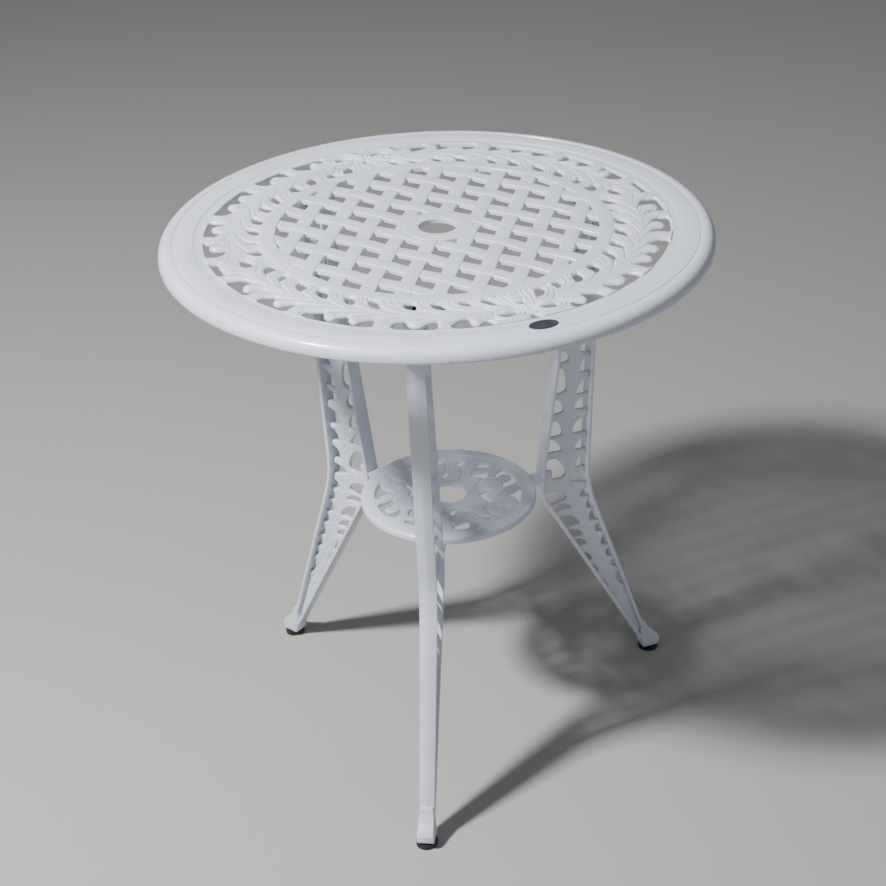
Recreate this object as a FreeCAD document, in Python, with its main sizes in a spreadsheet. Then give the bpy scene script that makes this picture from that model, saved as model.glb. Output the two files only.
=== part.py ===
import FreeCAD
import Part
import math
import os

import Sketcher
from FreeCAD import Rotation, Vector

# A round cast garden table, 600 mm across, with a hole for a parasol pole:
# an openwork top, three openwork legs, a small round shelf and levelling feet.
# Origin on the floor under the table's axis, Z up, one leg towards -Y.

doc = FreeCAD.newDocument("garden_table")

# Driving dimensions, in millimetres and degrees
driving = {
    # table top
    "table_height": 636,
    "table_radius": 300,
    "edge_round": 12.5,
    "skirt_drop": 15.5,
    "rim_wall": 4,
    "rim_flat": 25.8,
    "slope_width": 10.2,
    "slope_drop": 1.6,
    "wreath_width": 61.5,
    "wreath_thick": 5,
    "outer_fin": 18,
    "inner_fin": 21,
    "fin_bulge": 3,
    "lobe_gap": 4,
    "scroll_eye": 8,
    "ring_width": 15,
    "ring_thick": 6,
    "pole_radius": 20.5,
    "hub_width": 18,
    "hub_thick": 6,
    "pattern_turn": 30.7,
    # weave
    "weave_pitch": 39,
    "weave_angle": 55,
    "strip_width": 16,
    "strip_thick": 4,
    "strip_ledge": 0.6,
    "weave_rise": 2.4,
    "weave_drop": 2,
    # shelf
    "shelf_radius": 102,
    "shelf_height": 300,
    "shelf_band": 16,
    "shelf_thick": 8,
    "shelf_web": 5,
    "shelf_sink": 0.8,
    "shelf_hub": 10,
    "shelf_leaves": 6,
    # legs
    "leg_count": 3,
    "strap_width": 20,
    "strap_thick": 4,
    "strap_ridge": 1.4,
    "web_thick": 4,
    "head_lap": 3.5,
    "head_depth": 31.5,
    "knee_height": 271,
    "waist_gap": 10.3,
    "waist_depth": 61.5,
    "outer_bend": 150,
    "inner_bend": 70,
    "ankle_inset": 4,
    "ankle_depth": 7,
    "ankle_height": 14,
    "ankle_drop": 8,
    "foot_inset": 34,
    "toe_height": 27,
    "toe_width": 21,
    "toe_length": 23,
    "toe_tip": 5,
    "toe_bulge": 26,
    # fixings
    "bolt_radius": 3,
    "bolt_grip": 8,
    "tap_depth": 9,
    "head_flats": 10,
    "head_height": 4,
    "washer_radius": 6,
    "washer_thick": 1.2,
    "fit_clearance": 0.3,
    "boss_radius": 7,
    "boss_height": 8,
    "boss_spread": 22,
    "flange_thick": 6,
    "flange_spread": 32,
    "flange_lap": 2,
    "lug_thick": 6,
    "lug_width": 18,
    "lug_margin": 1,
    # levelling feet
    "pad_radius": 12,
    "pad_height": 6,
    "stud_radius": 4,
    "stud_grip": 8,
    "stud_foot": 6.5,
    "stud_foot_thick": 2,
    "foot_travel": 8,
}

sheet = doc.addObject("Spreadsheet::Sheet", "sizes")
for row, (alias, number) in enumerate(driving.items(), start=1):
    sheet.set("A%d" % row, alias)
    sheet.set("B%d" % row, str(number))
    sheet.setAlias("B%d" % row, alias)
doc.recompute()


class Size:
    """A number together with the expression that gives it from the sheet."""

    def __init__(self, number, text):
        self.number = float(number)
        self.text = text

    def join(self, other, sign, swap=False):
        if not isinstance(other, Size):
            other = Size(other, repr(float(other)))
        one, two = (other, self) if swap else (self, other)
        number = {
            "+": one.number + two.number,
            "-": one.number - two.number,
            "*": one.number * two.number,
            "/": one.number / two.number if two.number else 0,
        }[sign]
        return Size(number, "(%s %s %s)" % (one.text, sign, two.text))

    def __add__(self, other):
        return self.join(other, "+")

    __radd__ = __add__

    def __sub__(self, other):
        return self.join(other, "-")

    def __rsub__(self, other):
        return self.join(other, "-", True)

    def __mul__(self, other):
        return self.join(other, "*")

    __rmul__ = __mul__

    def __truediv__(self, other):
        return self.join(other, "/")

    def __float__(self):
        return self.number


def size(alias):
    return Size(sheet.get(alias), "sizes." + alias)


def value(alias):
    return float(size(alias))


def root(value):
    return Size(math.sqrt(value.number), "sqrt(%s)" % value.text)


# Heights and radii that several pieces share
top_z = size("table_height")
rim_r = size("table_radius")
fit = size("fit_clearance")
flat_r = rim_r - size("edge_round") - size("rim_flat")
opening_r = flat_r - size("slope_width")
slope_z = top_z - size("slope_drop")
ring_out = opening_r - size("wreath_width")
ring_in = ring_out - size("ring_width")
ring_mid = (ring_out + ring_in) / 2
ring_under = top_z - size("ring_thick")
boss_z = ring_under - size("boss_height")
flange_z = boss_z - size("flange_thick")
bolt_y = size("boss_spread")
bolt_x = root(ring_mid * ring_mid - bolt_y * bolt_y)
pole_r = size("pole_radius")
hub_r = pole_r + size("hub_width")
shelf_z = size("shelf_height")
shelf_under = shelf_z - size("shelf_thick")
band_mid = size("shelf_radius") - size("shelf_band") / 2
lug_z = shelf_under - size("lug_thick")
foot_r = rim_r - size("foot_inset")
toe_z = size("pad_height") + fit
leg_turns = [Rotation(Vector(0, 0, 1), -90 + 360 / float(size("leg_count")) * i)
             for i in range(int(float(size("leg_count"))))]
leg_names = ["front", "right", "left", "fourth", "fifth", "sixth"][:len(leg_turns)]
Z = Vector(0, 0, 1)


# Sketch helpers: a corner is a pair of sizes measured from the sketch's origin
def origin_plane(body, role):
    return [part for part in body.Origin.OriginFeatures if part.Role == role][0]


def new_body(label):
    body = doc.addObject("PartDesign::Body", label)
    body.Label = label
    return body


def new_sketch(body, name, role, height=None):
    sketch = body.newObject("Sketcher::SketchObject", body.Name + "_" + name)
    sketch.AttachmentSupport = [(origin_plane(body, role), "")]
    sketch.MapMode = "FlatFace"
    if height is not None:
        sketch.setExpression("AttachmentOffset.Base.z", height.text)
    return sketch


def set_constraint(sketch, kind, items, length, text):
    index = sketch.addConstraint(Sketcher.Constraint(kind, *items, length))
    sketch.setExpression("Constraints[%d]" % index, text)


def place_point(sketch, geometry, end, corner):
    for kind, axis, length in (("DistanceX", -2, corner[0]), ("DistanceY", -1, corner[1])):
        if not isinstance(length, Size):
            length = Size(length, repr(float(length)))
        if abs(length.number) < 1e-9:
            sketch.addConstraint(Sketcher.Constraint("PointOnObject", geometry, end, axis))
        elif length.number > 0:
            set_constraint(sketch, kind, (-1, 1, geometry, end), length.number, length.text)
        else:
            set_constraint(sketch, kind, (geometry, end, -1, 1), -length.number, "-" + length.text)


def flat_vector(corner):
    return Vector(float(corner[0]), float(corner[1]), 0)


def sketch_arc(sketch, start, stop, radius, side):
    """An arc from start to stop, its centre to the left (1) or right (-1) of the way."""
    chord = stop - start
    away = Vector(-chord.y, chord.x, 0).normalize() * side
    centre = (start + stop) * 0.5 + away * math.sqrt(radius ** 2 - (chord.Length / 2) ** 2)
    first, last = (start, stop) if side > 0 else (stop, start)
    angles = [math.atan2(point.y - centre.y, point.x - centre.x) for point in (first, last)]
    if angles[1] < angles[0]:
        angles[1] += 2 * math.pi
    geometry = sketch.addGeometry(Part.ArcOfCircle(Part.Circle(centre, Z, radius), *angles), False)
    return (geometry, 1, 2) if side > 0 else (geometry, 2, 1)


def draw_outline(sketch, corners, arcs=None):
    """A closed outline. arcs gives, by the number of its first corner, an edge's radius and side."""
    arcs = arcs or {}
    edges = []
    for i, corner in enumerate(corners):
        start = flat_vector(corner)
        stop = flat_vector(corners[(i + 1) % len(corners)])
        if i in arcs:
            radius, side = arcs[i]
            edges.append(sketch_arc(sketch, start, stop, float(radius), side))
        else:
            edges.append((sketch.addGeometry(Part.LineSegment(start, stop), False), 1, 2))
    for i, edge in enumerate(edges):
        following = edges[(i + 1) % len(edges)]
        sketch.addConstraint(Sketcher.Constraint("Coincident", edge[0], edge[2], following[0], following[1]))
        place_point(sketch, edge[0], edge[1], corners[i])
        if i in arcs:
            set_constraint(sketch, "Radius", (edge[0],), float(arcs[i][0]), arcs[i][0].text)


def draw_circle(sketch, centre, radius):
    circle = sketch.addGeometry(Part.Circle(flat_vector(centre), Z, float(radius)), False)
    place_point(sketch, circle, 3, centre)
    set_constraint(sketch, "Radius", (circle,), float(radius), radius.text)


def draw_bend(sketch, start, corner, stop, radius):
    """Two straight runs that would meet at corner, joined by an arc that touches both."""
    one, knee, two = (flat_vector(point) for point in (start, corner, stop))
    back = (one - knee).normalize()
    onward = (two - knee).normalize()
    half = back.getAngle(onward) / 2
    reach = float(radius) / math.tan(half)
    leave = knee + back * reach
    join = knee + onward * reach
    side = 1 if (knee - one).cross(two - knee).z > 0 else -1
    first = sketch.addGeometry(Part.LineSegment(one, leave), False)
    arc, arc_start, arc_stop = sketch_arc(sketch, leave, join, float(radius), side)
    last = sketch.addGeometry(Part.LineSegment(join, two), False)
    mark = sketch.addGeometry(Part.Point(knee), True)
    sketch.addConstraint(Sketcher.Constraint("Tangent", first, 2, arc, arc_start))
    sketch.addConstraint(Sketcher.Constraint("Tangent", arc, arc_stop, last, 1))
    sketch.addConstraint(Sketcher.Constraint("PointOnObject", mark, 1, first))
    sketch.addConstraint(Sketcher.Constraint("PointOnObject", mark, 1, last))
    place_point(sketch, first, 1, start)
    place_point(sketch, mark, 1, corner)
    place_point(sketch, last, 2, stop)
    set_constraint(sketch, "Radius", (arc,), float(radius), radius.text)
    return first, last


# Feature helpers
def revolve(body, name, corners, arcs=None):
    sketch = new_sketch(body, name, "XZ_Plane")
    draw_outline(sketch, corners, arcs)
    feature = body.newObject("PartDesign::Revolution", body.Name + "_" + name + "_turned")
    feature.Profile = sketch
    feature.ReferenceAxis = (sketch, ["V_Axis"])
    feature.Angle = 360
    doc.recompute()
    return feature


def pad(body, sketch, length, both_ways=False):
    feature = body.newObject("PartDesign::Pad", sketch.Name + "_pad")
    feature.Profile = sketch
    feature.setExpression("Length", length.text)
    if both_ways:
        feature.SideType = "Symmetric"
    doc.recompute()
    return feature


def pocket(body, sketch, length, reverse=False):
    before = body.Shape.Volume
    feature = body.newObject("PartDesign::Pocket", sketch.Name + "_pocket")
    feature.Profile = sketch
    feature.setExpression("Length", length.text)
    feature.Reversed = reverse
    doc.recompute()
    if body.Shape.Volume > before - 1:
        raise RuntimeError(feature.Name + " cuts nothing")
    return feature


def pipe(body, profile, path):
    feature = body.newObject("PartDesign::AdditivePipe", profile.Name + "_pipe")
    feature.Profile = profile
    feature.Spine = (path, ["Edge%d" % (i + 1) for i in range(3)])
    doc.recompute()
    return feature


def fuse(label, parts):
    result = doc.addObject("Part::MultiFuse", label)
    result.Label = label
    result.Shapes = parts
    return result


def cut(label, base, tool):
    result = doc.addObject("Part::Cut", label)
    result.Label = label
    result.Base = base
    result.Tool = tool
    return result


def keep_shape(label, shape, placement=None):
    result = doc.addObject("Part::Feature", label)
    result.Label = label
    result.Shape = shape
    if placement is not None:
        result.Placement = placement
    return result


# Openings in the castings: a fin is a curved three-sided hole
def curved_edge(start, stop, bulge, facing):
    if abs(bulge) < 1e-6:
        return Part.LineSegment(start, stop).toShape()
    outward = (stop - start).cross(facing).normalize()
    return Part.Arc(start, (start + stop) * 0.5 + outward * bulge, stop).toShape()


def curved_face(corners, bulges, facing=Z):
    edges = [curved_edge(corners[i], corners[(i + 1) % len(corners)], bulge, facing)
             for i, bulge in enumerate(bulges)]
    return Part.Face(Part.Wire(edges))


def ring_face(outer, inner):
    wires = [Part.Wire(Part.Circle(Vector(0, 0, 0), Z, radius).toShape()) for radius in (outer, inner)]
    return Part.Face(wires[0]).cut(Part.Face(wires[1])).Faces[0]


def slab(face, bottom, height):
    plate = face.extrude(Vector(0, 0, height))
    plate.translate(Vector(0, 0, bottom))
    return plate


# Wreath: one frond fills a quarter turn, from a scroll to the leaf tips where two fronds meet.
# Places along a frond are degrees from the scroll, out of 90.
long_cells = [
    [(10.7, 14.1), (15.7, 20.1)],
    [(23.6, 26.8), (30.7, 34.5)],
    [(38.3, 42.0), (44.3, 48.3), (51.0, 56.0)],
    [(60.7, 63.3), (65.9, 70.0)],
    [(73.3, 75.4), (78.0, 82.5)],
]
inner_gaps = [(6.9, 10.7), (14.2, 17.0), (21.7, 25.7), (29.7, 33.7), (40.8, 44.7),
              (47.9, 52.2), (56.7, 62.3), (65.7, 71.2), (74.7, 77.7), (81.7, 86.1)]
scroll_eye = (3.7, 5.8, 8.0)
outer_lean = 0.4
inner_lean = 0.8
notch_lean = 1.1
neck_lean = 1.3
diamond_lean = 2.6
tip_lean = 3.3
# how far an opening runs on under the plain ring or rim that it ends at
overlap = 1.0


def polar(radius, degrees):
    angle = math.radians(degrees)
    return Vector(radius * math.cos(angle), radius * math.sin(angle), 0)


def frond_openings(axis, way):
    """Openings of one frond, which starts at the angle axis and grows anticlockwise (1) or clockwise (-1)."""
    rim, ring = float(opening_r), float(ring_out)
    bulge, lobe_gap = value("fin_bulge"), value("lobe_gap")

    def point(radius, place):
        return polar(radius, axis + way * place)

    def fin(corners, bulges):
        return curved_face([point(*corner) for corner in corners], [way * bulge for bulge in bulges])

    faces = []
    for cell in long_cells:
        first, last = cell[0][0], cell[-1][1]
        inner, outer = rim - lobe_gap, rim + overlap
        arch = outer * (1 - math.cos(math.radians(last - first) / 2))
        faces.append(fin([(inner, first), (outer, first), (outer, last), (inner, last)],
                         [0, -arch, 0, arch]))
        for start, stop in cell:
            faces.append(fin([(rim - lobe_gap / 2, start), (rim - lobe_gap / 2, stop),
                              (rim - value("outer_fin"), start + outer_lean)], [0, bulge, 0]))
    for start, stop in inner_gaps:
        faces.append(fin([(ring - overlap, stop), (ring - overlap, start + outer_lean),
                          (ring + value("inner_fin"), start - inner_lean)], [0, 0, bulge]))
    eye = rim - value("outer_fin")
    first, middle, last = scroll_eye
    faces.append(fin([(eye, first), (eye + value("scroll_eye"), middle), (eye, last)],
                     [bulge / 2, bulge / 2, bulge / 2]))
    return faces


def wreath_face():
    turn, eye, lobe_gap = value("pattern_turn"), value("scroll_eye"), value("lobe_gap")
    rim, ring = float(opening_r), float(ring_out)
    spine = ring + value("inner_fin")
    holes = []
    for axis in (turn + 90, turn - 90):
        for way in (1, -1):
            holes += frond_openings(axis, way)
        for low, high, lean in ((rim + overlap, rim - eye, notch_lean), (spine, spine + eye, neck_lean)):
            holes.append(curved_face([polar(low, axis + lean), polar(low, axis - lean), polar(high, axis)],
                                     [0, 0, 0]))
    for axis in (turn, turn + 180):
        diamond = [polar(spine + eye + lobe_gap, axis), polar(spine + eye / 2, axis + diamond_lean),
                   polar(spine, axis), polar(spine + eye / 2, axis - diamond_lean)]
        tips = [polar(rim + overlap, axis + tip_lean), polar(rim - lobe_gap, axis + tip_lean),
                polar(rim - lobe_gap - overlap, axis), polar(rim - lobe_gap, axis - tip_lean),
                polar(rim + overlap, axis - tip_lean)]
        holes += [curved_face(corners, [0] * len(corners)) for corners in (diamond, tips)]
    face = ring_face(rim + 2 * overlap, ring - 2 * overlap)
    return face.cut(holes).Faces[0]


# Weave: two sets of strips cross at equal pitch, and every second crossing is bridged
def strip_directions():
    turn, lean = value("pattern_turn"), value("weave_angle")
    return polar(1, turn + lean), polar(1, turn - lean)


def weave_face():
    pitch, reach = value("weave_pitch"), float(ring_in)
    along, across = strip_directions()
    gap = pitch - value("strip_width") / math.sin(2 * math.radians(value("weave_angle")))
    count = int(reach / pitch / math.sin(math.radians(value("weave_angle")))) + 2
    holes = []
    for i in range(-count, count):
        for j in range(-count, count):
            centre = along * (pitch * (i + 0.5)) + across * (pitch * (j + 0.5))
            if float(hub_r) - gap < centre.Length < reach + gap / 2:
                corners = [centre + along * (gap / 2 * u) + across * (gap / 2 * v)
                           for u, v in ((-1, -1), (1, -1), (1, 1), (-1, 1))]
                holes.append(curved_face(corners, [0, 0, 0, 0]))
    face = ring_face(reach + 2 * overlap, float(pole_r) + 2 * overlap)
    return face.cut(holes).Faces[0]


def bridge(centre, along, across):
    """The arched back of a strip where it passes over a crossing."""
    pitch = value("weave_pitch")
    slant = along.cross(across).Length
    width = value("strip_width") / slant - 2 * value("strip_ledge")
    half = pitch - value("strip_width") / slant / 2
    low = float(top_z) - value("weave_rise") - value("strip_ledge")
    ends = [centre - along * half + Z * low, centre + along * half + Z * low]
    base = value("strip_thick") / 2
    crown = centre + Z * float(top_z)
    edges = [Part.Arc(ends[0], crown, ends[1]).toShape(),
             Part.LineSegment(ends[1], ends[1] - Z * base).toShape(),
             Part.LineSegment(ends[1] - Z * base, ends[0] - Z * base).toShape(),
             Part.LineSegment(ends[0] - Z * base, ends[0]).toShape()]
    side = Part.Face(Part.Wire(edges))
    side.translate(across * (-width / 2))
    return side.extrude(across * width)


def weave_bridges():
    pitch, reach, inner = value("weave_pitch"), float(ring_in), float(hub_r)
    along, across = strip_directions()
    depth = value("weave_rise") + value("strip_thick")
    room = slab(ring_face(reach + overlap, inner - overlap), float(top_z) - depth, depth)
    half = pitch - value("strip_width") / 2
    gap = value("strip_thick")
    count = int(reach / pitch) + 3
    # a bridge that the ring or hub leaves less than this share of is not worth casting
    least_share = 1 / 12
    bridges = []
    for i in range(-count, count + 1):
        for j in range(-count, count + 1):
            centre = along * (pitch * i) + across * (pitch * j)
            if centre.Length > reach + half:
                continue
            ways = (along, across) if (i + j) % 2 else (across, along)
            solid = bridge(centre, *ways)
            whole = solid.Volume
            if centre.Length + half > reach - gap or centre.Length - half < inner + gap:
                solid = solid.common(room)
            bridges += [piece for piece in solid.Solids if piece.Volume > whole * least_share]
    return bridges


def roll_points(centre_x, centre_z, radius):
    """The rim's rounded shoulder, from its side up to its top, in even steps."""
    steps = 3
    points = []
    for i in range(steps + 1):
        angle = math.radians(90 / steps * i)
        points.append((centre_x + radius * math.cos(angle), centre_z + radius * math.sin(angle)))
    return points


# Table top: rolled rim, plain ring and hub are turned, the openwork joins them
def make_table_top():
    rim = new_body("top_rim")
    wall, roll = size("rim_wall"), size("edge_round")
    skirt_z = top_z - size("skirt_drop")
    lip_z = slope_z - size("wreath_thick")
    under_z = top_z - wall
    rolled = roll_points(rim_r - roll, top_z - roll, roll)
    revolve(rim, "profile", [
        (opening_r, slope_z),
        (opening_r, lip_z),
        (opening_r + wall, lip_z),
        (flat_r, under_z),
        (rim_r - roll, under_z),
        (rim_r - wall, top_z - roll),
        (rim_r - wall, skirt_z),
        (rim_r, skirt_z),
        *rolled,
        (flat_r, top_z),
    ])
    plain_ring = new_body("top_plain_ring")
    hub = new_body("top_hub")
    for body, inner, outer, thick in ((plain_ring, ring_in, ring_out, size("ring_thick")),
                                      (hub, pole_r, hub_r, size("hub_thick"))):
        revolve(body, "profile", [
            (inner, top_z - thick), (outer, top_z - thick), (outer, top_z), (inner, top_z)])
    wreath = keep_shape("top_wreath", slab(wreath_face(), float(lip_z), value("wreath_thick")))
    strips_low = float(top_z) - value("weave_drop") - value("strip_thick")
    strips = keep_shape("top_strips", slab(weave_face(), strips_low, value("strip_thick")))
    bridges = keep_shape("top_bridges", Part.makeCompound(weave_bridges()))
    bosses = keep_shape("top_bosses", Part.makeCompound([
        Part.makeCylinder(value("boss_radius"), float(slope_z - boss_z), point + Z * float(boss_z))
        for point in bolt_points()]))
    whole = fuse("top_casting", [rim, plain_ring, hub, wreath, strips, bridges, bosses])
    holes = keep_shape("top_tapped_holes", Part.makeCompound([
        Part.makeCylinder(value("bolt_radius"), value("tap_depth"), point + Z * float(boss_z))
        for point in bolt_points()]))
    return cut("table_top", whole, holes)


def bolt_points():
    """Centres of the two bolts at the head of each leg."""
    return [turn.multVec(Vector(float(bolt_x), side * float(bolt_y), 0))
            for turn in leg_turns for side in (-1, 1)]


# Shelf: a banded disc with leaf shaped openings round a pole hole, each group of four
# openings given as shares of its own sector
leaf_share = 0.45


def shelf_face():
    inner, outer = float(pole_r + size("shelf_hub")), value("shelf_radius") - value("shelf_band")
    near, far = inner + (outer - inner) * leaf_share, outer + overlap
    bulge = value("fin_bulge")
    step = 360 / value("shelf_leaves")
    holes = []
    for i in range(int(value("shelf_leaves"))):
        axis = value("pattern_turn") + step * i
        for corners, bulges in (
                ([(inner, -0.22), (inner, 0.25), (near, 0.05)], [0, bulge, -bulge / 2]),
                ([(far, 0.1), (far, 0.38), (near, 0.45)], [0, 0, -bulge * 1.5]),
                ([(far, -0.1), (far, 0.02), (near, 0.27), (near, 0.1)], [0, -bulge, 0, bulge * 1.5]),
                ([(far, -0.37), (far, -0.18), (near, -0.15)], [0, 0, -bulge])):
            holes.append(curved_face([polar(radius, axis + step * share) for radius, share in corners], bulges))
    return ring_face(outer + 2 * overlap, float(pole_r) + 2 * overlap).cut(holes).Faces[0]


def make_shelf():
    band, hub = new_body("shelf_rim"), new_body("shelf_hub")
    outer, inner = size("shelf_radius"), size("shelf_radius") - size("shelf_band")
    hub_under, hub_out = shelf_z - size("shelf_web"), pole_r + size("shelf_hub") + overlap
    revolve(band, "profile", [(inner, shelf_under), (outer, shelf_under), (outer, shelf_z), (inner, shelf_z)])
    revolve(hub, "profile", [(pole_r, hub_under), (hub_out, hub_under), (hub_out, shelf_z), (pole_r, shelf_z)])
    web = keep_shape("shelf_openwork", slab(shelf_face(), float(hub_under),
                                            value("shelf_web") - value("shelf_sink")))
    whole = fuse("shelf_casting", [band, hub, web])
    holes = keep_shape("shelf_tapped_holes", Part.makeCompound([
        Part.makeCylinder(value("bolt_radius"), value("shelf_web"), turn.multVec(Vector(float(band_mid), 0, 0))
                          + Z * float(shelf_under))
        for turn in leg_turns]))
    return cut("shelf", whole, holes)


# Leg: two straps that close towards the foot, joined by a leafy web
leg_top_z = boss_z
strap = size("strap_thick")
knee_in = size("shelf_radius") + size("waist_gap")
knee_out = knee_in + size("waist_depth")
head_out = ring_out + size("head_lap")
head_in = head_out - size("head_depth")
ankle_out = foot_r - size("ankle_inset")
ankle_in = ankle_out - size("ankle_depth")
ankle_z = toe_z + size("ankle_height")
outer_run = [(head_out, leg_top_z), (knee_out, size("knee_height")), (ankle_out, ankle_z)]
inner_run = [(head_in, leg_top_z), (knee_in, size("knee_height")), (ankle_in, ankle_z - size("ankle_drop"))]


def strap_line(run, height):
    """Radius of a strap's outer face at a height, on its straight runs."""
    (r0, z0), (r1, z1), (r2, z2) = [(float(a), float(b)) for a, b in run]
    if height >= z1:
        return r1 + (r0 - r1) * (height - z1) / (z0 - z1)
    return r1 + (r2 - r1) * (height - z1) / (z2 - z1)


# Openings of the web, as shares of the leg's height, each from its lower to its upper end
inner_fins = [(0.19, 0.215), (0.225, 0.255), (0.265, 0.29), (0.30, 0.335), (0.345, 0.378),
              (0.392, 0.412), (0.423, 0.448), (0.472, 0.513), (0.545, 0.592), (0.617, 0.66),
              (0.687, 0.727), (0.755, 0.795), (0.825, 0.862), (0.89, 0.925)]
outer_fins = [(0.19, 0.225), (0.235, 0.262), (0.27, 0.295), (0.305, 0.33), (0.35, 0.385),
              (0.41, 0.436), (0.455, 0.472), (0.482, 0.508), (0.516, 0.54), (0.55, 0.583),
              (0.607, 0.64), (0.652, 0.708), (0.74, 0.782), (0.81, 0.85), (0.88, 0.918)]
stem_share = 0.55
fin_reach = 0.64
dome_share = 0.22
fin_clearance = 0.5


def leg_openings():
    height = float(leg_top_z)
    facing = Vector(0, -1, 0)
    thick = 2 * value("web_thick")
    wall = float(strap) + fin_clearance
    faces = []
    for run, fins, way in ((inner_run, inner_fins, 1), (outer_run, outer_fins, -1)):
        for low, high in fins:
            z0, z1 = low * height, high * height
            middle = (z0 + z1) / 2
            edge0 = strap_line(run, z0) + way * wall
            edge1 = strap_line(run, z1) + way * wall
            stem = (strap_line(inner_run, middle) * (1 - stem_share)
                    + strap_line(outer_run, middle) * stem_share)
            tip = edge0 + (stem - edge0) * fin_reach
            corners = [Vector(edge1, 0, z1), Vector(edge0, 0, z0), Vector(tip, 0, z0)]
            faces.append(curved_face(corners, [0, 0, (z1 - z0) * dome_share * way], facing))
    solids = [face.extrude(Vector(0, thick, 0)) for face in faces]
    for solid in solids:
        solid.translate(Vector(0, -thick / 2, 0))
    return Part.makeCompound(solids)


def make_leg(name, turn):
    body = new_body("leg_%s_body" % name)
    width = size("strap_width")
    web = new_sketch(body, "web", "XZ_Plane")
    outer_first, outer_last = draw_bend(web, *outer_run, size("outer_bend"))
    inner_first, inner_last = draw_bend(web, *inner_run, size("inner_bend"))
    for one, two, end in ((inner_first, outer_first, 1), (inner_last, outer_last, 2)):
        line = web.addGeometry(Part.LineSegment(web.getPoint(one, end), web.getPoint(two, end)), False)
        web.addConstraint(Sketcher.Constraint("Coincident", line, 1, one, end))
        web.addConstraint(Sketcher.Constraint("Coincident", line, 2, two, end))
    pad(body, web, size("web_thick"), True)

    for side, run, bend, way in (("outer", outer_run, size("outer_bend"), 1),
                                 ("inner", inner_run, size("inner_bend"), -1)):
        path = new_sketch(body, side + "_path", "XZ_Plane")
        draw_bend(path, *run, bend)
        face_x = run[0][0]
        profile = new_sketch(body, side + "_strap", "XY_Plane", leg_top_z)
        half = width / 2
        draw_outline(profile, [
            (face_x - way * strap, 0 - half), (face_x, 0 - half),
            (face_x + way * size("strap_ridge"), 0 * half), (face_x, half),
            (face_x - way * strap, half)])
        pipe(body, profile, path)

    flange = new_sketch(body, "flange", "XY_Plane", flange_z)
    spread = size("flange_spread")
    inner, outer = ring_in - size("flange_lap"), ring_out + size("flange_lap")
    draw_outline(flange, [(inner, 0 - spread), (outer, 0 - spread), (outer, spread), (inner, spread)])
    pad(body, flange, size("flange_thick"))
    holes = new_sketch(body, "flange_holes", "XY_Plane", leg_top_z)
    for side in (1, -1):
        draw_circle(holes, (bolt_x, side * bolt_y), size("bolt_radius") + fit)
    pocket(body, holes, size("flange_thick"))

    lug = new_sketch(body, "lug", "XY_Plane", lug_z)
    half = size("lug_width") / 2
    lug_end = band_mid - size("washer_radius") - size("lug_margin")
    lug_root = knee_in + strap
    draw_outline(lug, [(lug_end, 0 - half), (lug_root, 0 - half), (lug_root, half), (lug_end, half)])
    pad(body, lug, size("lug_thick"))
    lug_hole = new_sketch(body, "lug_hole", "XY_Plane", shelf_under)
    draw_circle(lug_hole, (band_mid, 0 * band_mid), size("bolt_radius") + fit)
    pocket(body, lug_hole, size("lug_thick"))

    toe = new_sketch(body, "toe", "XZ_Plane")
    back, front = foot_r - size("toe_length") / 2, foot_r + size("toe_length") / 2
    draw_outline(toe, [
        (back, toe_z), (front, toe_z), (front, toe_z + size("toe_tip")),
        (ankle_out - size("ankle_inset"), toe_z + size("toe_height")), (back, ankle_z)],
        {2: (size("toe_bulge"), 1)})
    pad(body, toe, size("toe_width"), True)
    socket = new_sketch(body, "socket", "XY_Plane", toe_z)
    draw_circle(socket, (foot_r, 0 * foot_r), size("stud_radius") + fit)
    pocket(body, socket, size("foot_travel") + size("stud_grip"), True)

    openings = keep_shape("leg_%s_openings" % name, leg_openings())
    leg = cut("leg_" + name, body, openings)
    leg.Placement = FreeCAD.Placement(Vector(0, 0, 0), turn)
    return leg


# Fixings: one body for each kind, copied to its places
def make_bolt(label, length):
    body = new_body(label)
    radius, head = size("bolt_radius"), size("head_height")
    shank = new_sketch(body, "shank", "XY_Plane")
    draw_circle(shank, (0, 0), radius)
    pad(body, shank, length)
    hexagon = new_sketch(body, "head", "XY_Plane")
    corner = size("head_flats") / math.sqrt(3)
    draw_outline(hexagon, [(corner * math.cos(math.radians(60 * i)), corner * math.sin(math.radians(60 * i)))
                           for i in range(6)])
    pad(body, hexagon, head).Reversed = True
    doc.recompute()
    return body


def make_washer(label):
    body = new_body(label)
    ring = new_sketch(body, "ring", "XY_Plane")
    draw_circle(ring, (0, 0), size("washer_radius"))
    draw_circle(ring, (0, 0), size("bolt_radius") + fit)
    pad(body, ring, size("washer_thick"))
    return body


def make_group(label, body, points):
    copies = []
    for point in points:
        copy = body.Shape.copy()
        copy.translate(point)
        copies.append(copy)
    return keep_shape(label, Part.makeCompound(copies))


def make_fixings():
    washer = value("washer_thick")
    top_points = [point + Z * float(flange_z) for point in bolt_points()]
    shelf_points = [turn.multVec(Vector(float(band_mid), 0, 0)) + Z * float(lug_z) for turn in leg_turns]
    top_length = size("flange_thick") + size("washer_thick") + size("bolt_grip")
    shelf_length = size("lug_thick") + size("washer_thick") + size("shelf_web") - 2 * fit
    groups = []
    for place, points, length in (("top", top_points, top_length), ("shelf", shelf_points, shelf_length)):
        lowered = [point - Z * washer for point in points]
        groups.append(make_group(place + "_washers", make_washer(place + "_washer"), lowered))
        groups.append(make_group(place + "_bolts", make_bolt(place + "_bolt", length), lowered))
    return groups


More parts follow.
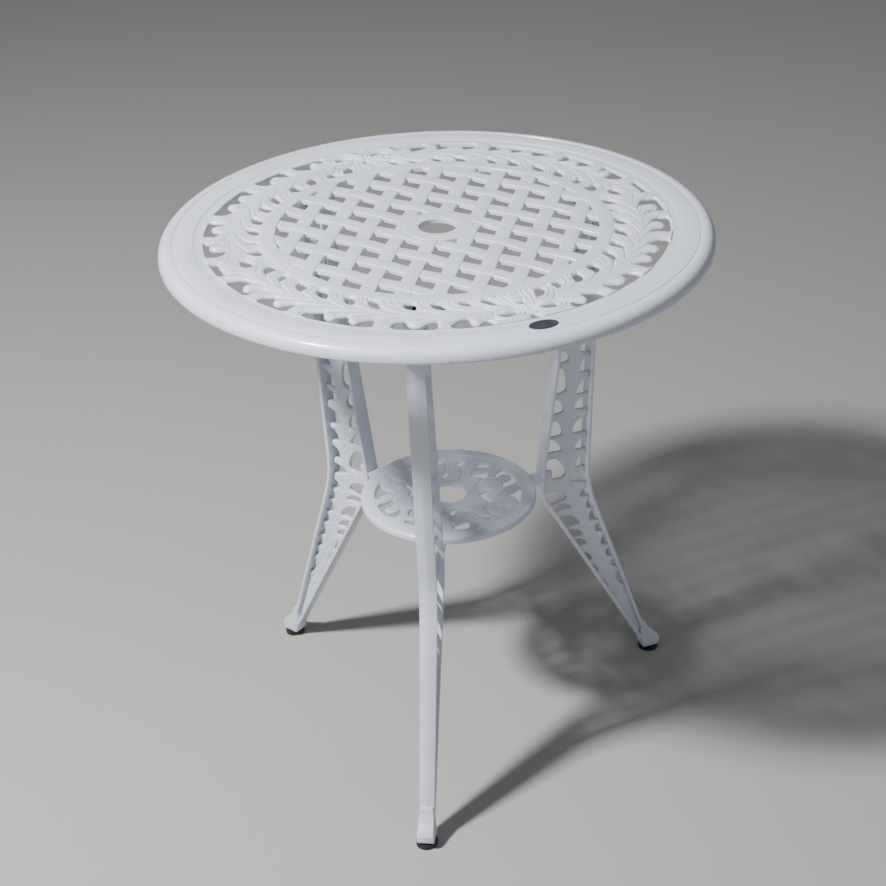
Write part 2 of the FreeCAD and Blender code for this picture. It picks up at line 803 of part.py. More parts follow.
# Levelling foot: a round pad that a screwed stud turns in
def make_foot(name, turn):
    cup_r = size("stud_foot") + fit
    cup_low = (size("pad_height") - size("stud_foot_thick")) / 2 - fit
    cup_high = cup_low + size("stud_foot_thick") + 2 * fit
    bore_r = size("stud_radius") + fit
    pad_body = new_body("foot_pad_" + name)
    revolve(pad_body, "profile", [
        (0, 0), (size("pad_radius"), 0), (size("pad_radius"), size("pad_height")),
        (bore_r, size("pad_height")), (bore_r, cup_high), (cup_r, cup_high), (cup_r, cup_low), (0, cup_low)])
    stud = new_body("foot_stud_" + name)
    foot_low = cup_low + fit
    foot_high = foot_low + size("stud_foot_thick")
    end_z = toe_z + size("foot_travel") + size("stud_grip") - 1
    revolve(stud, "profile", [
        (0, foot_low), (size("stud_foot"), foot_low), (size("stud_foot"), foot_high),
        (size("stud_radius"), foot_high), (size("stud_radius"), end_z), (0, end_z)])
    for body in (pad_body, stud):
        body.Placement = FreeCAD.Placement(turn.multVec(Vector(float(foot_r), 0, 0)), turn)
    return [pad_body, stud]


nodes = [make_table_top(), make_shelf()]
for name, turn in zip(leg_names, leg_turns):
    nodes.append(make_leg(name, turn))
    nodes += make_foot(name, turn)
nodes += make_fixings()
doc.recompute()

for item in doc.Objects:
    if any(word in item.State for word in ("Invalid", "Error")):
        raise RuntimeError("%s failed: %s" % (item.Label, item.State))
for node in nodes:
    if node.Shape.isNull() or not node.Shape.isValid() or not node.Shape.Solids:
        raise RuntimeError(node.Label + " has no valid shape")

os.makedirs("parts", exist_ok=True)
for node in nodes:
    node.Shape.exportStep("parts/%s.step" % node.Label)
    print(node.Label, len(node.Shape.Solids), round(node.Shape.Volume))
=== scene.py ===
import math
import bpy
import bmesh
import numpy
from mathutils import Matrix, Vector


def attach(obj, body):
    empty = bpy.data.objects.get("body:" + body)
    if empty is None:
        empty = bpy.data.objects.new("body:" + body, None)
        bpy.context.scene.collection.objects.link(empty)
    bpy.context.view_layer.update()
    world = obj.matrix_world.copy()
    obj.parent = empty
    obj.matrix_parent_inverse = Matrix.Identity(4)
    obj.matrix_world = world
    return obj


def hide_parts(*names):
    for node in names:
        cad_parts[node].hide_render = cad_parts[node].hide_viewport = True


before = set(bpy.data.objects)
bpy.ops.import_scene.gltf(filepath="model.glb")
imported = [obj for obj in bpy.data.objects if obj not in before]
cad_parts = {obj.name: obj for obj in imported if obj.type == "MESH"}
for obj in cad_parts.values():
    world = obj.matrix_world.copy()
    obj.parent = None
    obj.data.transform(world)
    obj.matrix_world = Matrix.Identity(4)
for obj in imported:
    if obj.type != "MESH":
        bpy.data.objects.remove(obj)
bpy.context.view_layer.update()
mm = 0.001
print("frame loaded:", ", ".join(sorted(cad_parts)))


# camera: millimetres and degrees, the lens against a 36 mm wide frame; it sees as far as 50 m
view = {"place": (297.3, -1939.2, 1470.5), "heading": 95.87, "tilt": 29.46, "roll": -0.95,
        "lens": 79.65, "frameWidth": 36, "shift": -0.1, "farthest": 50}


def makeCamera():
    heading, tilt, roll = (math.radians(view[key]) for key in ("heading", "tilt", "roll"))
    ahead = Vector((math.cos(heading) * math.cos(tilt), math.sin(heading) * math.cos(tilt), -math.sin(tilt)))
    level = ahead.cross(Vector((0, 0, 1))).normalized()
    plumb = level.cross(ahead)
    right = level * math.cos(roll) + plumb * math.sin(roll)
    up = plumb * math.cos(roll) - level * math.sin(roll)
    data = bpy.data.cameras.new("camera")
    data.sensor_width = view["frameWidth"]
    data.lens = view["lens"]
    data.shift_x = view["shift"]
    data.clip_end = view["farthest"]
    camera = bpy.data.objects.new("camera", data)
    turn = Matrix((right, up, -ahead)).transposed().to_4x4()
    camera.matrix_world = Matrix.Translation(Vector(view["place"]) * mm) @ turn
    bpy.context.scene.collection.objects.link(camera)
    bpy.context.scene.camera = camera
    print("camera set")


# shader helper: a Wire is a value on its way between nodes
class Wire:
    def __init__(self, tree, output):
        self.tree = tree
        self.output = output

    def maths(self, operation, other, swapped=False):
        node = self.tree.nodes.new("ShaderNodeMath")
        node.operation = operation
        for slot, value in zip(node.inputs, (other, self) if swapped else (self, other)):
            plug(self.tree, value, slot)
        return Wire(self.tree, node.outputs[0])

    def __add__(self, other):
        return self.maths("ADD", other)

    def __radd__(self, other):
        return self.maths("ADD", other, True)

    def __sub__(self, other):
        return self.maths("SUBTRACT", other)

    def __rsub__(self, other):
        return self.maths("SUBTRACT", other, True)

    def __mul__(self, other):
        return self.maths("MULTIPLY", other)

    def __rmul__(self, other):
        return self.maths("MULTIPLY", other, True)


def plug(tree, value, slot):
    if isinstance(value, Wire):
        tree.links.new(value.output, slot)
    else:
        slot.default_value = value


class Finish:
    def __init__(self, name, **steady):
        self.material = bpy.data.materials.new(name)
        self.material.use_nodes = True
        self.tree = self.material.node_tree
        self.shader = self.tree.nodes["Principled BSDF"]
        self.feed(**steady)

    def node(self, kind, settings=None, inputs=None, output=0):
        node = self.tree.nodes.new("ShaderNode" + kind)
        for key, value in (settings or {}).items():
            if key == "stops":
                for stop, (place, shade) in zip(node.color_ramp.elements, value):
                    stop.position = place
                    stop.color = (shade, shade, shade, 1)
            else:
                setattr(node, key, value)
        for key, value in (inputs or {}).items():
            plug(self.tree, value, node.inputs[key])
        return Wire(self.tree, node.outputs[output])

    def feed(self, **wires):
        for slot, wire in wires.items():
            plug(self.tree, wire, self.shader.inputs[slot.replace("_", " ")])

    def noise(self, scale, detail=3, roughness=0.5):
        spot = self.node("TexCoord", output="Object")
        sockets = {"Vector": spot, "Scale": scale, "Detail": detail, "Roughness": roughness}
        return self.node("TexNoise", inputs=sockets)

    def ramp(self, wire, stops):
        return self.node("ValToRGB", {"stops": stops}, {"Fac": wire})

    def blendColours(self, factor, first, second):
        # a Mix node's colours go by number: 6 and 7 are the two that blend, 2 is the outcome
        first, second = (shade if isinstance(shade, Wire) else (*shade, 1) for shade in (first, second))
        return self.node("Mix", {"data_type": "RGBA"}, {0: factor, 6: first, 7: second}, output=2)

    def bump(self, height, distance, strength):
        return self.node("Bump", inputs={"Height": height, "Distance": distance, "Strength": strength})


# finishes: noises are (scale, detail, roughness), depths are in metres, stops are (place, shade)
paint = {"clean": (0.66, 0.70, 0.80), "worn": (0.57, 0.60, 0.68), "bare": (0.16, 0.15, 0.15),
         "coat": 0.5, "coatRough": 0.1, "rough": 0.33, "grainRough": 0.12, "cloudRough": 0.15,
         "cloud": (9, 4, 0.6), "grain": (700, 2), "lump": (60, 2), "chip": (240, 2, 0.4),
         "wearStops": ((0.45, 0), (0.75, 0.7)), "chipStops": ((0.21, 1), (0.225, 0)),
         "grainShare": 0.35, "chipShare": 0.8, "depth": 0.00012, "strength": 0.8}


def whitePaint():
    p = paint
    finish = Finish("white paint", Coat_Weight=p["coat"], Coat_Roughness=p["coatRough"])
    cloud, grain, lump = (finish.noise(*p[key]) for key in ("cloud", "grain", "lump"))
    chip = finish.ramp(finish.noise(*p["chip"]), p["chipStops"])
    tone = finish.blendColours(finish.ramp(cloud, p["wearStops"]), p["clean"], p["worn"])
    height = grain * p["grainShare"] + lump - p["chipShare"] * chip
    finish.feed(Base_Color=finish.blendColours(chip, tone, p["bare"]),
                Roughness=p["rough"] + p["grainRough"] * (grain - 0.5) + p["cloudRough"] * cloud,
                Normal=finish.bump(height, p["depth"], p["strength"]))
    return finish.material


zinc = {"light": (0.60, 0.61, 0.63), "dull": (0.36, 0.36, 0.38), "cloud": (220, 4, 0.6),
        "rough": 0.34, "cloudRough": 0.25, "depth": 0.00005, "strength": 0.5}


def zincPlate():
    finish = Finish("zinc plate", Metallic=1.0)
    cloud = finish.noise(*zinc["cloud"])
    finish.feed(Base_Color=finish.blendColours(cloud, zinc["light"], zinc["dull"]),
                Roughness=zinc["rough"] + zinc["cloudRough"] * cloud,
                Normal=finish.bump(cloud, zinc["depth"], zinc["strength"]))
    return finish.material


rubber = {"dark": (0.012, 0.012, 0.013), "dusty": (0.055, 0.052, 0.048), "dust": (160, 5, 0.65),
          "dustStops": ((0.45, 0), (0.8, 1)), "grain": (1600, 2), "rough": 0.62, "dustRough": 0.2,
          "depth": 0.00008, "strength": 0.6}


def blackRubber():
    r = rubber
    finish = Finish("black moulding")
    dust, grain = finish.noise(*r["dust"]), finish.noise(*r["grain"])
    finish.feed(Base_Color=finish.blendColours(finish.ramp(dust, r["dustStops"]), r["dark"], r["dusty"]),
                Roughness=r["rough"] + r["dustRough"] * (dust - 0.5),
                Normal=finish.bump(grain, r["depth"], r["strength"]))
    return finish.material


enamel = {"dark": (0.018, 0.022, 0.030), "light": (0.040, 0.048, 0.062), "cloud": (130, 3),
          "coat": 0.6, "coatRough": 0.12, "rough": 0.28, "cloudRough": 0.2}


def darkPlate():
    finish = Finish("dark enamel", Coat_Weight=enamel["coat"], Coat_Roughness=enamel["coatRough"])
    cloud = finish.noise(*enamel["cloud"])
    finish.feed(Base_Color=finish.blendColours(cloud, enamel["dark"], enamel["light"]),
                Roughness=enamel["rough"] + enamel["cloudRough"] * cloud)
    return finish.material


# mesh helpers: everything below is drawn in millimetres and stored in metres
class Pile:
    def __init__(self):
        self.points = []
        self.faces = []

    def add(self, points, faces):
        start = len(self.points)
        self.points += [Vector(point) for point in points]
        self.faces += [[start + corner for corner in face] for face in faces]

    def addPile(self, other, matrix):
        start = len(self.points)
        flip = matrix.to_3x3().determinant() < 0
        self.points += [matrix @ point for point in other.points]
        for face in other.faces:
            self.faces.append([start + corner for corner in (reversed(face) if flip else face)])

    def loft(self, rings, around=False):
        # faces from ring to ring; the two ends are closed unless the last ring joins the first
        count = len(rings[0])
        faces = []
        for i in range(len(rings) if around else len(rings) - 1):
            here, there = i * count, (i + 1) % len(rings) * count
            for j in range(count):
                k = (j + 1) % count
                faces.append([here + j, here + k, there + k, there + j])
        if not around:
            faces.append(list(reversed(range(count))))
            faces.append([(len(rings) - 1) * count + j for j in range(count)])
        self.add([point for ring in rings for point in ring], faces)

    def build(self, name, material, sharp=38):
        mesh = bpy.data.meshes.new(name)
        mesh.from_pydata([point * mm for point in self.points], [], self.faces)
        shape = bmesh.new()
        shape.from_mesh(mesh)
        bmesh.ops.remove_doubles(shape, verts=shape.verts, dist=0.005 * mm)
        bmesh.ops.recalc_face_normals(shape, faces=shape.faces)
        shape.to_mesh(mesh)
        shape.free()
        mesh.shade_smooth()
        mesh.set_sharp_from_angle(angle=math.radians(sharp))
        mesh.materials.append(material)
        piece = bpy.data.objects.new(name, mesh)
        bpy.context.scene.collection.objects.link(piece)
        return piece


def aboutZ(degrees):
    return Matrix.Rotation(math.radians(degrees), 4, "Z")


def polar(radius, degrees, height=0):
    angle = math.radians(degrees)
    return Vector((radius * math.cos(angle), radius * math.sin(angle), height))


def circle(radius, sides):
    return [tuple(polar(radius, i * 360 / sides).xy) for i in range(sides)]


def rounded(corners, radii, steps=5):
    # a closed outline whose corners are eased: each bend runs between two points where it touches the sides
    outline = []
    for i, corner in enumerate(corners):
        corner = Vector(corner)
        radius = radii[i] if isinstance(radii, (list, tuple)) else radii
        back = Vector(corners[i - 1]) - corner
        onward = Vector(corners[(i + 1) % len(corners)]) - corner
        half = back.angle(onward) / 2
        reach = min(radius / math.tan(half), back.length * 0.49, onward.length * 0.49)
        first, last = corner + back.normalized() * reach, corner + onward.normalized() * reach
        for step in range(steps + 1):
            t = step / steps
            outline.append(first * (1 - t) ** 2 + corner * 2 * t * (1 - t) + last * t ** 2)
    return outline


def bandProfile(inner, outer, low, high, radii):
    # the section of a flat band, from its lower inside corner round to its upper one
    corners = [(inner, low, 0), (outer, low, 0), (outer, high, 0), (inner, high, 0)]
    return [(p.x, p.y) for p in rounded(corners, radii)]


def turned(pile, profile, sides):
    rings = []
    for i in range(sides):
        angle = 2 * math.pi * i / sides
        rings.append([(p[0] * math.cos(angle), p[0] * math.sin(angle), p[1]) for p in profile])
    pile.loft(rings, around=True)


def smoothed(places, count):
    # a smooth line through the places, in evenly numbered points from the first to the last
    points = [Vector((x, y, 0)) for x, y in places]
    line = []
    for i in range(count):
        along = i / (count - 1) * (len(points) - 1)
        k = min(int(along), len(points) - 2)
        t = along - k
        before = points[k - 1] if k > 0 else points[0] * 2 - points[1]
        after = points[k + 2] if k + 2 < len(points) else points[-1] * 2 - points[-2]
        a, b = points[k], points[k + 1]
        point = 0.5 * (2 * a + (b - before) * t + (2 * before - 5 * a + 4 * b - after) * t ** 2
                       + (3 * a - before - 3 * b + after) * t ** 3)
        line.append((point.x, point.y))
    return line


def eased(places, passes=2):
    # a closed outline whose corners are cut off, and the new corners cut off again
    outline = [Vector((x, y, 0)) for x, y in places]
    for _ in range(passes):
        softer = []
        for i, point in enumerate(outline):
            following = outline[(i + 1) % len(outline)]
            softer += [point.lerp(following, 0.25), point.lerp(following, 0.75)]
        outline = softer
    return [(point.x, point.y) for point in outline]


# table top: the sides are how many steps each turned ring takes
top = {"height": 635.2, "radius": 300, "roll": 12.5, "wall": 4, "skirt": 15.5, "flat": 261.7, "slope": 1.6,
       "crease": 283.7, "creaseWidth": 1.7, "creaseDepth": 1.1, "creaseEase": 0.6, "creaseDip": 0.12,
       "opening": 251.5, "lip": 5, "lipEase": 0.8, "ringOut": 190, "ringIn": 175, "ringThick": 6,
       "ringRadii": (0.5, 0.5, 1.4, 1.4), "hub": 38.5, "pole": 20.5, "turn": 30.7,
       "rimSides": 288, "ringSides": 240, "hubSides": 96,
       "bossRadius": 7, "bossHole": 3, "bossTop": 5, "bossDrop": 14, "bossEase": 0.6, "bossSide": 22,
       "bossSides": 32, "legTurns": (-90, 30, 150)}
ringMiddle = (top["ringOut"] + top["ringIn"]) / 2
fourWays = [aboutZ(top["turn"] + 90 + half) @ Matrix.Diagonal((1, way, 1, 1))
            for half in (0, 180) for way in (1, -1)]


def bend(centre, radius, start, stop, steps=10):
    turns = [math.radians(start + (stop - start) * i / steps) for i in range(steps + 1)]
    return [(centre[0] + radius * math.cos(turn), centre[1] + radius * math.sin(turn)) for turn in turns]


def rimProfile():
    h, r, roll, wall = top["height"], top["radius"], top["roll"], top["wall"]
    opening, lip, ease, flatIn, crease = (top[key] for key in ("opening", "lip", "lipEase", "flat", "crease"))
    skirt, slopeLow, deep = h - top["skirt"], h - top["slope"], h - top["creaseDepth"]
    edge, dip = top["creaseWidth"] / 2, h - top["creaseDip"]
    far = edge + top["creaseEase"]
    # the lip round the opening and the hollow inside of the roll
    profile = [(opening, slopeLow - 1), (opening, slopeLow - lip + ease), (opening + ease, slopeLow - lip),
               (opening + wall, slopeLow - lip), (flatIn, h - wall)]
    profile += bend((r - roll, h - roll), roll - wall, 90, 0)
    # the skirt's lower edge and the outside of the roll
    profile += [(r - wall, skirt + 1), (r - wall + 1, skirt), (r - 1.2, skirt), (r - 0.4, skirt + 0.4),
                (r, skirt + 1.2)]
    profile += bend((r - roll, h - roll), roll, 0, 90, 16)
    # the thin crease
    profile += [(crease + far, h), (crease + edge, dip), (crease + 0.2, deep), (crease - 0.2, deep),
                (crease - edge, dip), (crease - far, h)]
    # the small step and the slope down to the opening
    profile += [(flatIn + 0.9, h), (flatIn + 0.2, h - 0.2), (flatIn - 0.1, h - 0.75),
                (flatIn - 0.9, h - 0.85), (opening + 2.6, slopeLow), (opening + 1.8, slopeLow + 0.15),
                (opening + 0.7, slopeLow), (opening + 0.15, slopeLow - 0.5)]
    return profile


# a cast plate with openings: its height follows the distance from the edges and the lines carved in it
class Sheet:
    farOff = 20.0  # distance from any edge before an opening is cut
    margin = 9  # how far round an opening its edge is felt
    footEase = 1.5  # how far from an edge the underside and the grooves are eased
    footLift = 0.8  # how far the underside rises at an edge

    def __init__(self, box, step, domeWidth, crown, thick):
        x0, x1, y0, y1 = box
        self.across = numpy.linspace(x0, x1, int((x1 - x0) / step) + 1)
        self.along = numpy.linspace(y0, y1, int((y1 - y0) / step) + 1)
        self.x, self.y = numpy.meshgrid(self.across, self.along, indexing="ij")
        self.edge = numpy.full(self.x.shape, self.farOff)
        self.carved = numpy.zeros(self.x.shape)
        self.raised = numpy.zeros(self.x.shape)
        self.domeWidth, self.crown, self.thick = domeWidth, crown, thick

    def window(self, line, margin):
        # the part of the grid round a line
        spans = []
        for grid, k in ((self.across, 0), (self.along, 1)):
            low, high = min(p[k] for p in line) - margin, max(p[k] for p in line) + margin
            begin, end = numpy.searchsorted(grid, (low, high))
            spans.append(slice(max(0, begin - 1), end + 1))
        return tuple(spans)

    def distance(self, part, line, closed):
        # how far each spot is from the line, and which share of the line is passed at its nearest point
        x, y = self.x[part], self.y[part]
        best, share = numpy.full(x.shape, numpy.inf), numpy.zeros(x.shape)
        stretches = list(zip(line, line[1:] + line[:1] if closed else line[1:]))
        for k, (a, b) in enumerate(stretches):
            dx, dy = b[0] - a[0], b[1] - a[1]
            t = numpy.clip(((x - a[0]) * dx + (y - a[1]) * dy) / (dx * dx + dy * dy + 1e-9), 0, 1)
            square = (x - a[0] - t * dx) ** 2 + (y - a[1] - t * dy) ** 2
            share = numpy.where(square < best, (k + t) / len(stretches), share)
            best = numpy.minimum(best, square)
        return numpy.sqrt(best), share

    def cut(self, outline, outside=False, wider=0.0):
        # takes away what is inside the outline, or outside it
        part = (slice(None), slice(None)) if outside else self.window(outline, self.margin)
        if self.x[part].size == 0:
            return
        x, y = self.x[part], self.y[part]
        inside = numpy.zeros(x.shape, bool)
        for a, b in zip(outline, outline[1:] + outline[:1]):
            if a[1] != b[1]:
                crossing = a[0] + (y - a[1]) * (b[0] - a[0]) / (b[1] - a[1])
                inside ^= ((a[1] > y) != (b[1] > y)) & (x < crossing)
        away = self.distance(part, outline, True)[0]
        signed = numpy.where(inside == outside, away, -away) - wider
        self.edge[part] = numpy.minimum(self.edge[part], signed)

    def carve(self, line, depth, width, fade=0.0):
        # a groove along a line; with a fade it grows shallower towards the line's end
        part = self.window(line, 3 * width)
        away, share = self.distance(part, line, False)
        groove = depth * (1 - fade * share) * numpy.exp(-(away / width) ** 2)
        self.carved[part] = numpy.maximum(self.carved[part], groove)

    def swell(self, place, radius, height, stretch=1.0):
        away = ((self.x - place[0]) ** 2 + ((self.y - place[1]) / stretch) ** 2) / radius ** 2
        self.raised += height * numpy.clip(1 - away, 0, 1) ** 1.5

    def build(self, pile, place, walled=False, bothFaces=False):
        # both sides over every square that holds metal, cut to the edge line, and walls between them;
        # a walled sheet is closed along its two long sides too
        dome = numpy.sqrt(1 - (1 - numpy.clip(self.edge / self.domeWidth, 0, 1)) ** 2)
        ease = numpy.clip(self.edge / self.footEase, 0, 1)
        tops = (self.crown + self.raised) * dome - self.carved * ease - self.crown
        bottoms = -self.thick + self.footLift * (1 - numpy.sqrt(1 - (1 - ease) ** 2))
        edgeTop, edgeLow = -self.crown, -self.thick + self.footLift
        if bothFaces:
            tops += self.crown + self.thick
            bottoms, edgeTop, edgeLow = -tops, self.thick, -self.thick
        metal = self.edge > 0
        spots, points, faces = {}, [], []

        def spot(key, x, y, upper, lower):
            if key not in spots:
                spots[key] = len(points)
                points.extend((place(x, y, upper), place(x, y, lower)))
            return spots[key]

        def corner(i, j):
            return spot((i, j), self.x[i, j], self.y[i, j], tops[i, j], bottoms[i, j])

        def crossing(one, two):
            one, two = min(one, two), max(one, two)
            t = self.edge[one] / (self.edge[one] - self.edge[two])
            x = self.x[one] + (self.x[two] - self.x[one]) * t
            y = self.y[one] + (self.y[two] - self.y[one]) * t
            return spot((one, two), x, y, edgeTop, edgeLow)

        last = self.x.shape[1] - 1
        held = metal[:-1, :-1] | metal[1:, :-1] | metal[:-1, 1:] | metal[1:, 1:]
        for i, j in numpy.argwhere(held).tolist():
            square = [(i, j), (i + 1, j), (i + 1, j + 1), (i, j + 1)]
            way, marks = [], []
            for k in range(4):
                one, two = square[k], square[(k + 1) % 4]
                if metal[one]:
                    way.append(corner(*one))
                    marks.append(walled and one[1] == two[1] and one[1] in (0, last))
                if metal[one] != metal[two]:
                    way.append(crossing(one, two))
                    marks.append(metal[one])
            if len(way) < 3:
                continue
            faces.append(way)
            faces.append([k + 1 for k in reversed(way)])
            for k, mark in enumerate(marks):
                if mark:
                    a, b = way[k], way[(k + 1) % len(way)]
                    faces.append([b, a, a + 1, b + 1])
        pile.add(points, faces)


# wreath: four mirrored fronds; places along one are degrees from its scroll, out of 90, each with a radius
wreath = {
    "ringSide": 188.6, "rimSide": 252.6, "below": 0.25, "thick": 5.0, "crown": 3.0, "round": 4.2,
    "wider": 0.45, "step": 0.72, "unit": 3.84,
    # radius at which the lines of the leaves leave the middle of the frond, and how far they run from it
    "outward": (221, 29), "inward": (219, -30),
    # grooves as (depth, width, fade): between the leaves, down their middles and down their sides
    "forkGroove": (1.9, 1.3, 0.6), "tipGroove": (1.1, 0.9, 0.3), "sideGroove": (0.7, 0.7, 0.5),
    "gapGroove": (1.7, 1.1, 0.5), "scrollGroove": (1.5, 1.0), "meetingGroove": (1.2, 0.9),
    # lean of the lines as (most degrees, share of the place) and for the inner gaps a few degrees more
    "forkLean": (13, 0.75), "tipLean": (13, 0.7), "gapLean": (12, 0.6, 2),
    # side grooves as (shift, radius); folds between two inner gaps as (share of the way, depth)
    "sides": ((1.3, 229), (-1.5, 228)), "folds": ((0.18, 1.0), (0.5, 1.3), (0.82, 1.0)), "foldRadius": 190,
    "foldWidth": 0.95, "foldFade": 0.95, "lastGap": 88,
    # swells as (place, radius, size, height); near each leaf's tip is one as (size, height, stretch)
    "swells": ((5.5, 224.5, 8, 1.1), (1.9, 203.5, 4.5, 0.9), (2.6, 244, 5, 0.6), (86, 236, 6, 0.6)),
    "tipBack": 6, "tipSwell": (6.5, 0.7, 1.3),
    "outerCells": [
        [(9.5, 253), (11, 238.2), (12.4, 243), (13.3, 247.2), (14.1, 247.2), (15.1, 243), (15.5, 238),
         (15.3, 230), (16.3, 230), (18.2, 235.5), (19.4, 241), (19.4, 253)],
        [(22.8, 253), (23.1, 240), (22.8, 232), (24.2, 233.5), (25.5, 238.5), (26.2, 243.5), (27.6, 246),
         (29.2, 244.3), (30.3, 239), (30.6, 231.5), (32, 234), (33.3, 238), (33.3, 253)],
        [(37.7, 253), (38.2, 240), (38.2, 231.5), (39.5, 234), (40.9, 238.5), (41.6, 243.8), (42.5, 246),
         (43.5, 244.5), (44.6, 239.5), (45.1, 232), (45.9, 233.5), (47.1, 238), (47.7, 243.5),
         (48.9, 245.5), (50.1, 244), (51.2, 239), (51.5, 232), (52.6, 233), (54.2, 237), (55.4, 241.5),
         (55.2, 253)],
        [(59.9, 253), (60.4, 241), (60, 231.5), (61, 232.5), (62, 237), (62.7, 243), (63.9, 245.8),
         (65.3, 244.8), (66.4, 239.5), (66.7, 232.5), (67.4, 233), (68.7, 237.5), (69.2, 242), (69, 253)],
        [(73.1, 253), (73.9, 243), (73.7, 237), (73.1, 230), (74.2, 235), (74.5, 242), (75.3, 245.3),
         (76.4, 246), (77.6, 243.8), (78.4, 238.5), (78.5, 232), (78.3, 226.5), (79.6, 229), (81.3, 233),
         (82.1, 239), (81.9, 253)]],
    "innerGaps": [
        [(5.9, 209), (7.3, 208), (8.9, 203.5), (10, 198), (10, 193), (7.8, 193), (6.8, 199.5), (6, 205)],
        [(13.5, 204), (15.2, 202), (16.5, 197.5), (16.4, 193), (13.6, 193), (13.5, 199)],
        [(19.9, 208), (22.1, 207.8), (23.8, 203.5), (24.6, 198.5), (25, 193), (22.3, 193), (21.3, 199)],
        [(28.4, 208.5), (30.4, 207), (32, 203.5), (32.5, 199), (32.7, 193), (29.5, 193), (29.2, 199),
         (28.9, 205)],
        [(38.2, 209), (40.3, 208), (42, 204), (43, 199), (43.5, 193), (41, 193), (40.5, 198), (39.5, 203)],
        [(47, 208), (48.3, 207.5), (50, 203.5), (50.7, 199), (51, 193), (47.8, 193), (47.6, 200)],
        [(55.7, 206.8), (58, 205), (60.3, 201.5), (61, 197.5), (61, 193), (57.6, 193), (56.8, 199)],
        [(64.8, 206.5), (66.3, 205.5), (68.5, 201), (69.9, 193), (66.2, 193), (65.2, 198)],
        [(74.2, 206), (75.9, 203.5), (76.9, 199), (77, 193), (75.4, 193), (75.1, 199)],
        [(81.2, 207.5), (82.8, 206.5), (84.8, 202.5), (85.5, 198), (85.3, 193), (81.8, 193), (81.9, 200)]],
    "middles": [
        [(-1.6, 253), (0, 241.3), (1.6, 253)],
        [(-1.2, 210), (0, 218), (1.2, 210), (0, 210.6)],
        [(2.9, 230.6), (3.7, 234), (4.8, 236.8), (5.8, 238), (6.7, 237.4), (7.4, 235), (7.7, 231.2),
         (6.4, 230.2), (4.5, 230.2)],
        [(87.1, 216.4), (90, 222.6), (92.9, 216.4), (90, 207.8)],
        [(86.2, 253), (86.5, 243.6), (87.4, 243), (88.7, 244.8), (90, 243.4), (91.3, 244.8), (92.6, 243),
         (93.8, 253)]],
    "tips": [(13.7, 246), (21.2, 249), (27.7, 244), (35.5, 249), (42.6, 244), (49.0, 243.5), (57.6, 249),
             (64.3, 244), (71.0, 249), (76.2, 244), (84.2, 249)],
    "forks": [(10.9, 238), (15.6, 229.5), (22.8, 231.5), (30.8, 231), (38.3, 231), (45.3, 231.5),
              (51.8, 231.5), (60.1, 231), (66.9, 232), (73.1, 229.5), (78.4, 226)],
    "scrollLines": [
        [(3.4, 189), (3.0, 200), (2.4, 212), (1.9, 222), (1.9, 230), (2.5, 236), (3.9, 240.4),
         (5.8, 241.8), (7.6, 240.4), (8.9, 236), (9.2, 230), (8.6, 225)],
        [(1.0, 219), (0.9, 228), (1.4, 238), (3.0, 244), (5.5, 246), (8.2, 244.2), (9.8, 239)],
        [(5.3, 189), (5.0, 198), (4.3, 207), (3.5, 216), (2.9, 224), (2.9, 229)],
        [(2.0, 189), (1.7, 200), (1.3, 208)],
        [(6.4, 221), (8.2, 214), (10.3, 206), (11.7, 197), (12.1, 189)],
        [(8.4, 223), (9.8, 217), (11.6, 209), (12.7, 200), (13, 189)]],
    "meetingLines": [
        [(90, 224), (90, 242)], [(86.5, 218), (87.3, 226), (88.3, 233), (88.8, 243)],
        [(83.2, 226), (85.4, 231), (86.2, 243)], [(86.3, 213), (88.1, 206), (88.9, 198), (89, 189)],
        [(84, 214), (86.4, 207), (87.4, 198), (87.5, 189)]],
}


def flat(places):
    # places and radii of a frond laid out flat, in millimetres
    return [(place * wreath["unit"], radius) for place, radius in places]


def leafLine(end, radius, lean, way):
    # leaves the middle of the frond along it and turns towards an edge, ending at a given place
    root, run = wreath[way]
    far = (radius - root) / run
    last = end + lean * (1 - far) ** 2
    shares = [far * (1 - i / 9) for i in range(10)]
    return flat([(last - lean * (1 - t) ** 2, root + run * t) for t in shares])


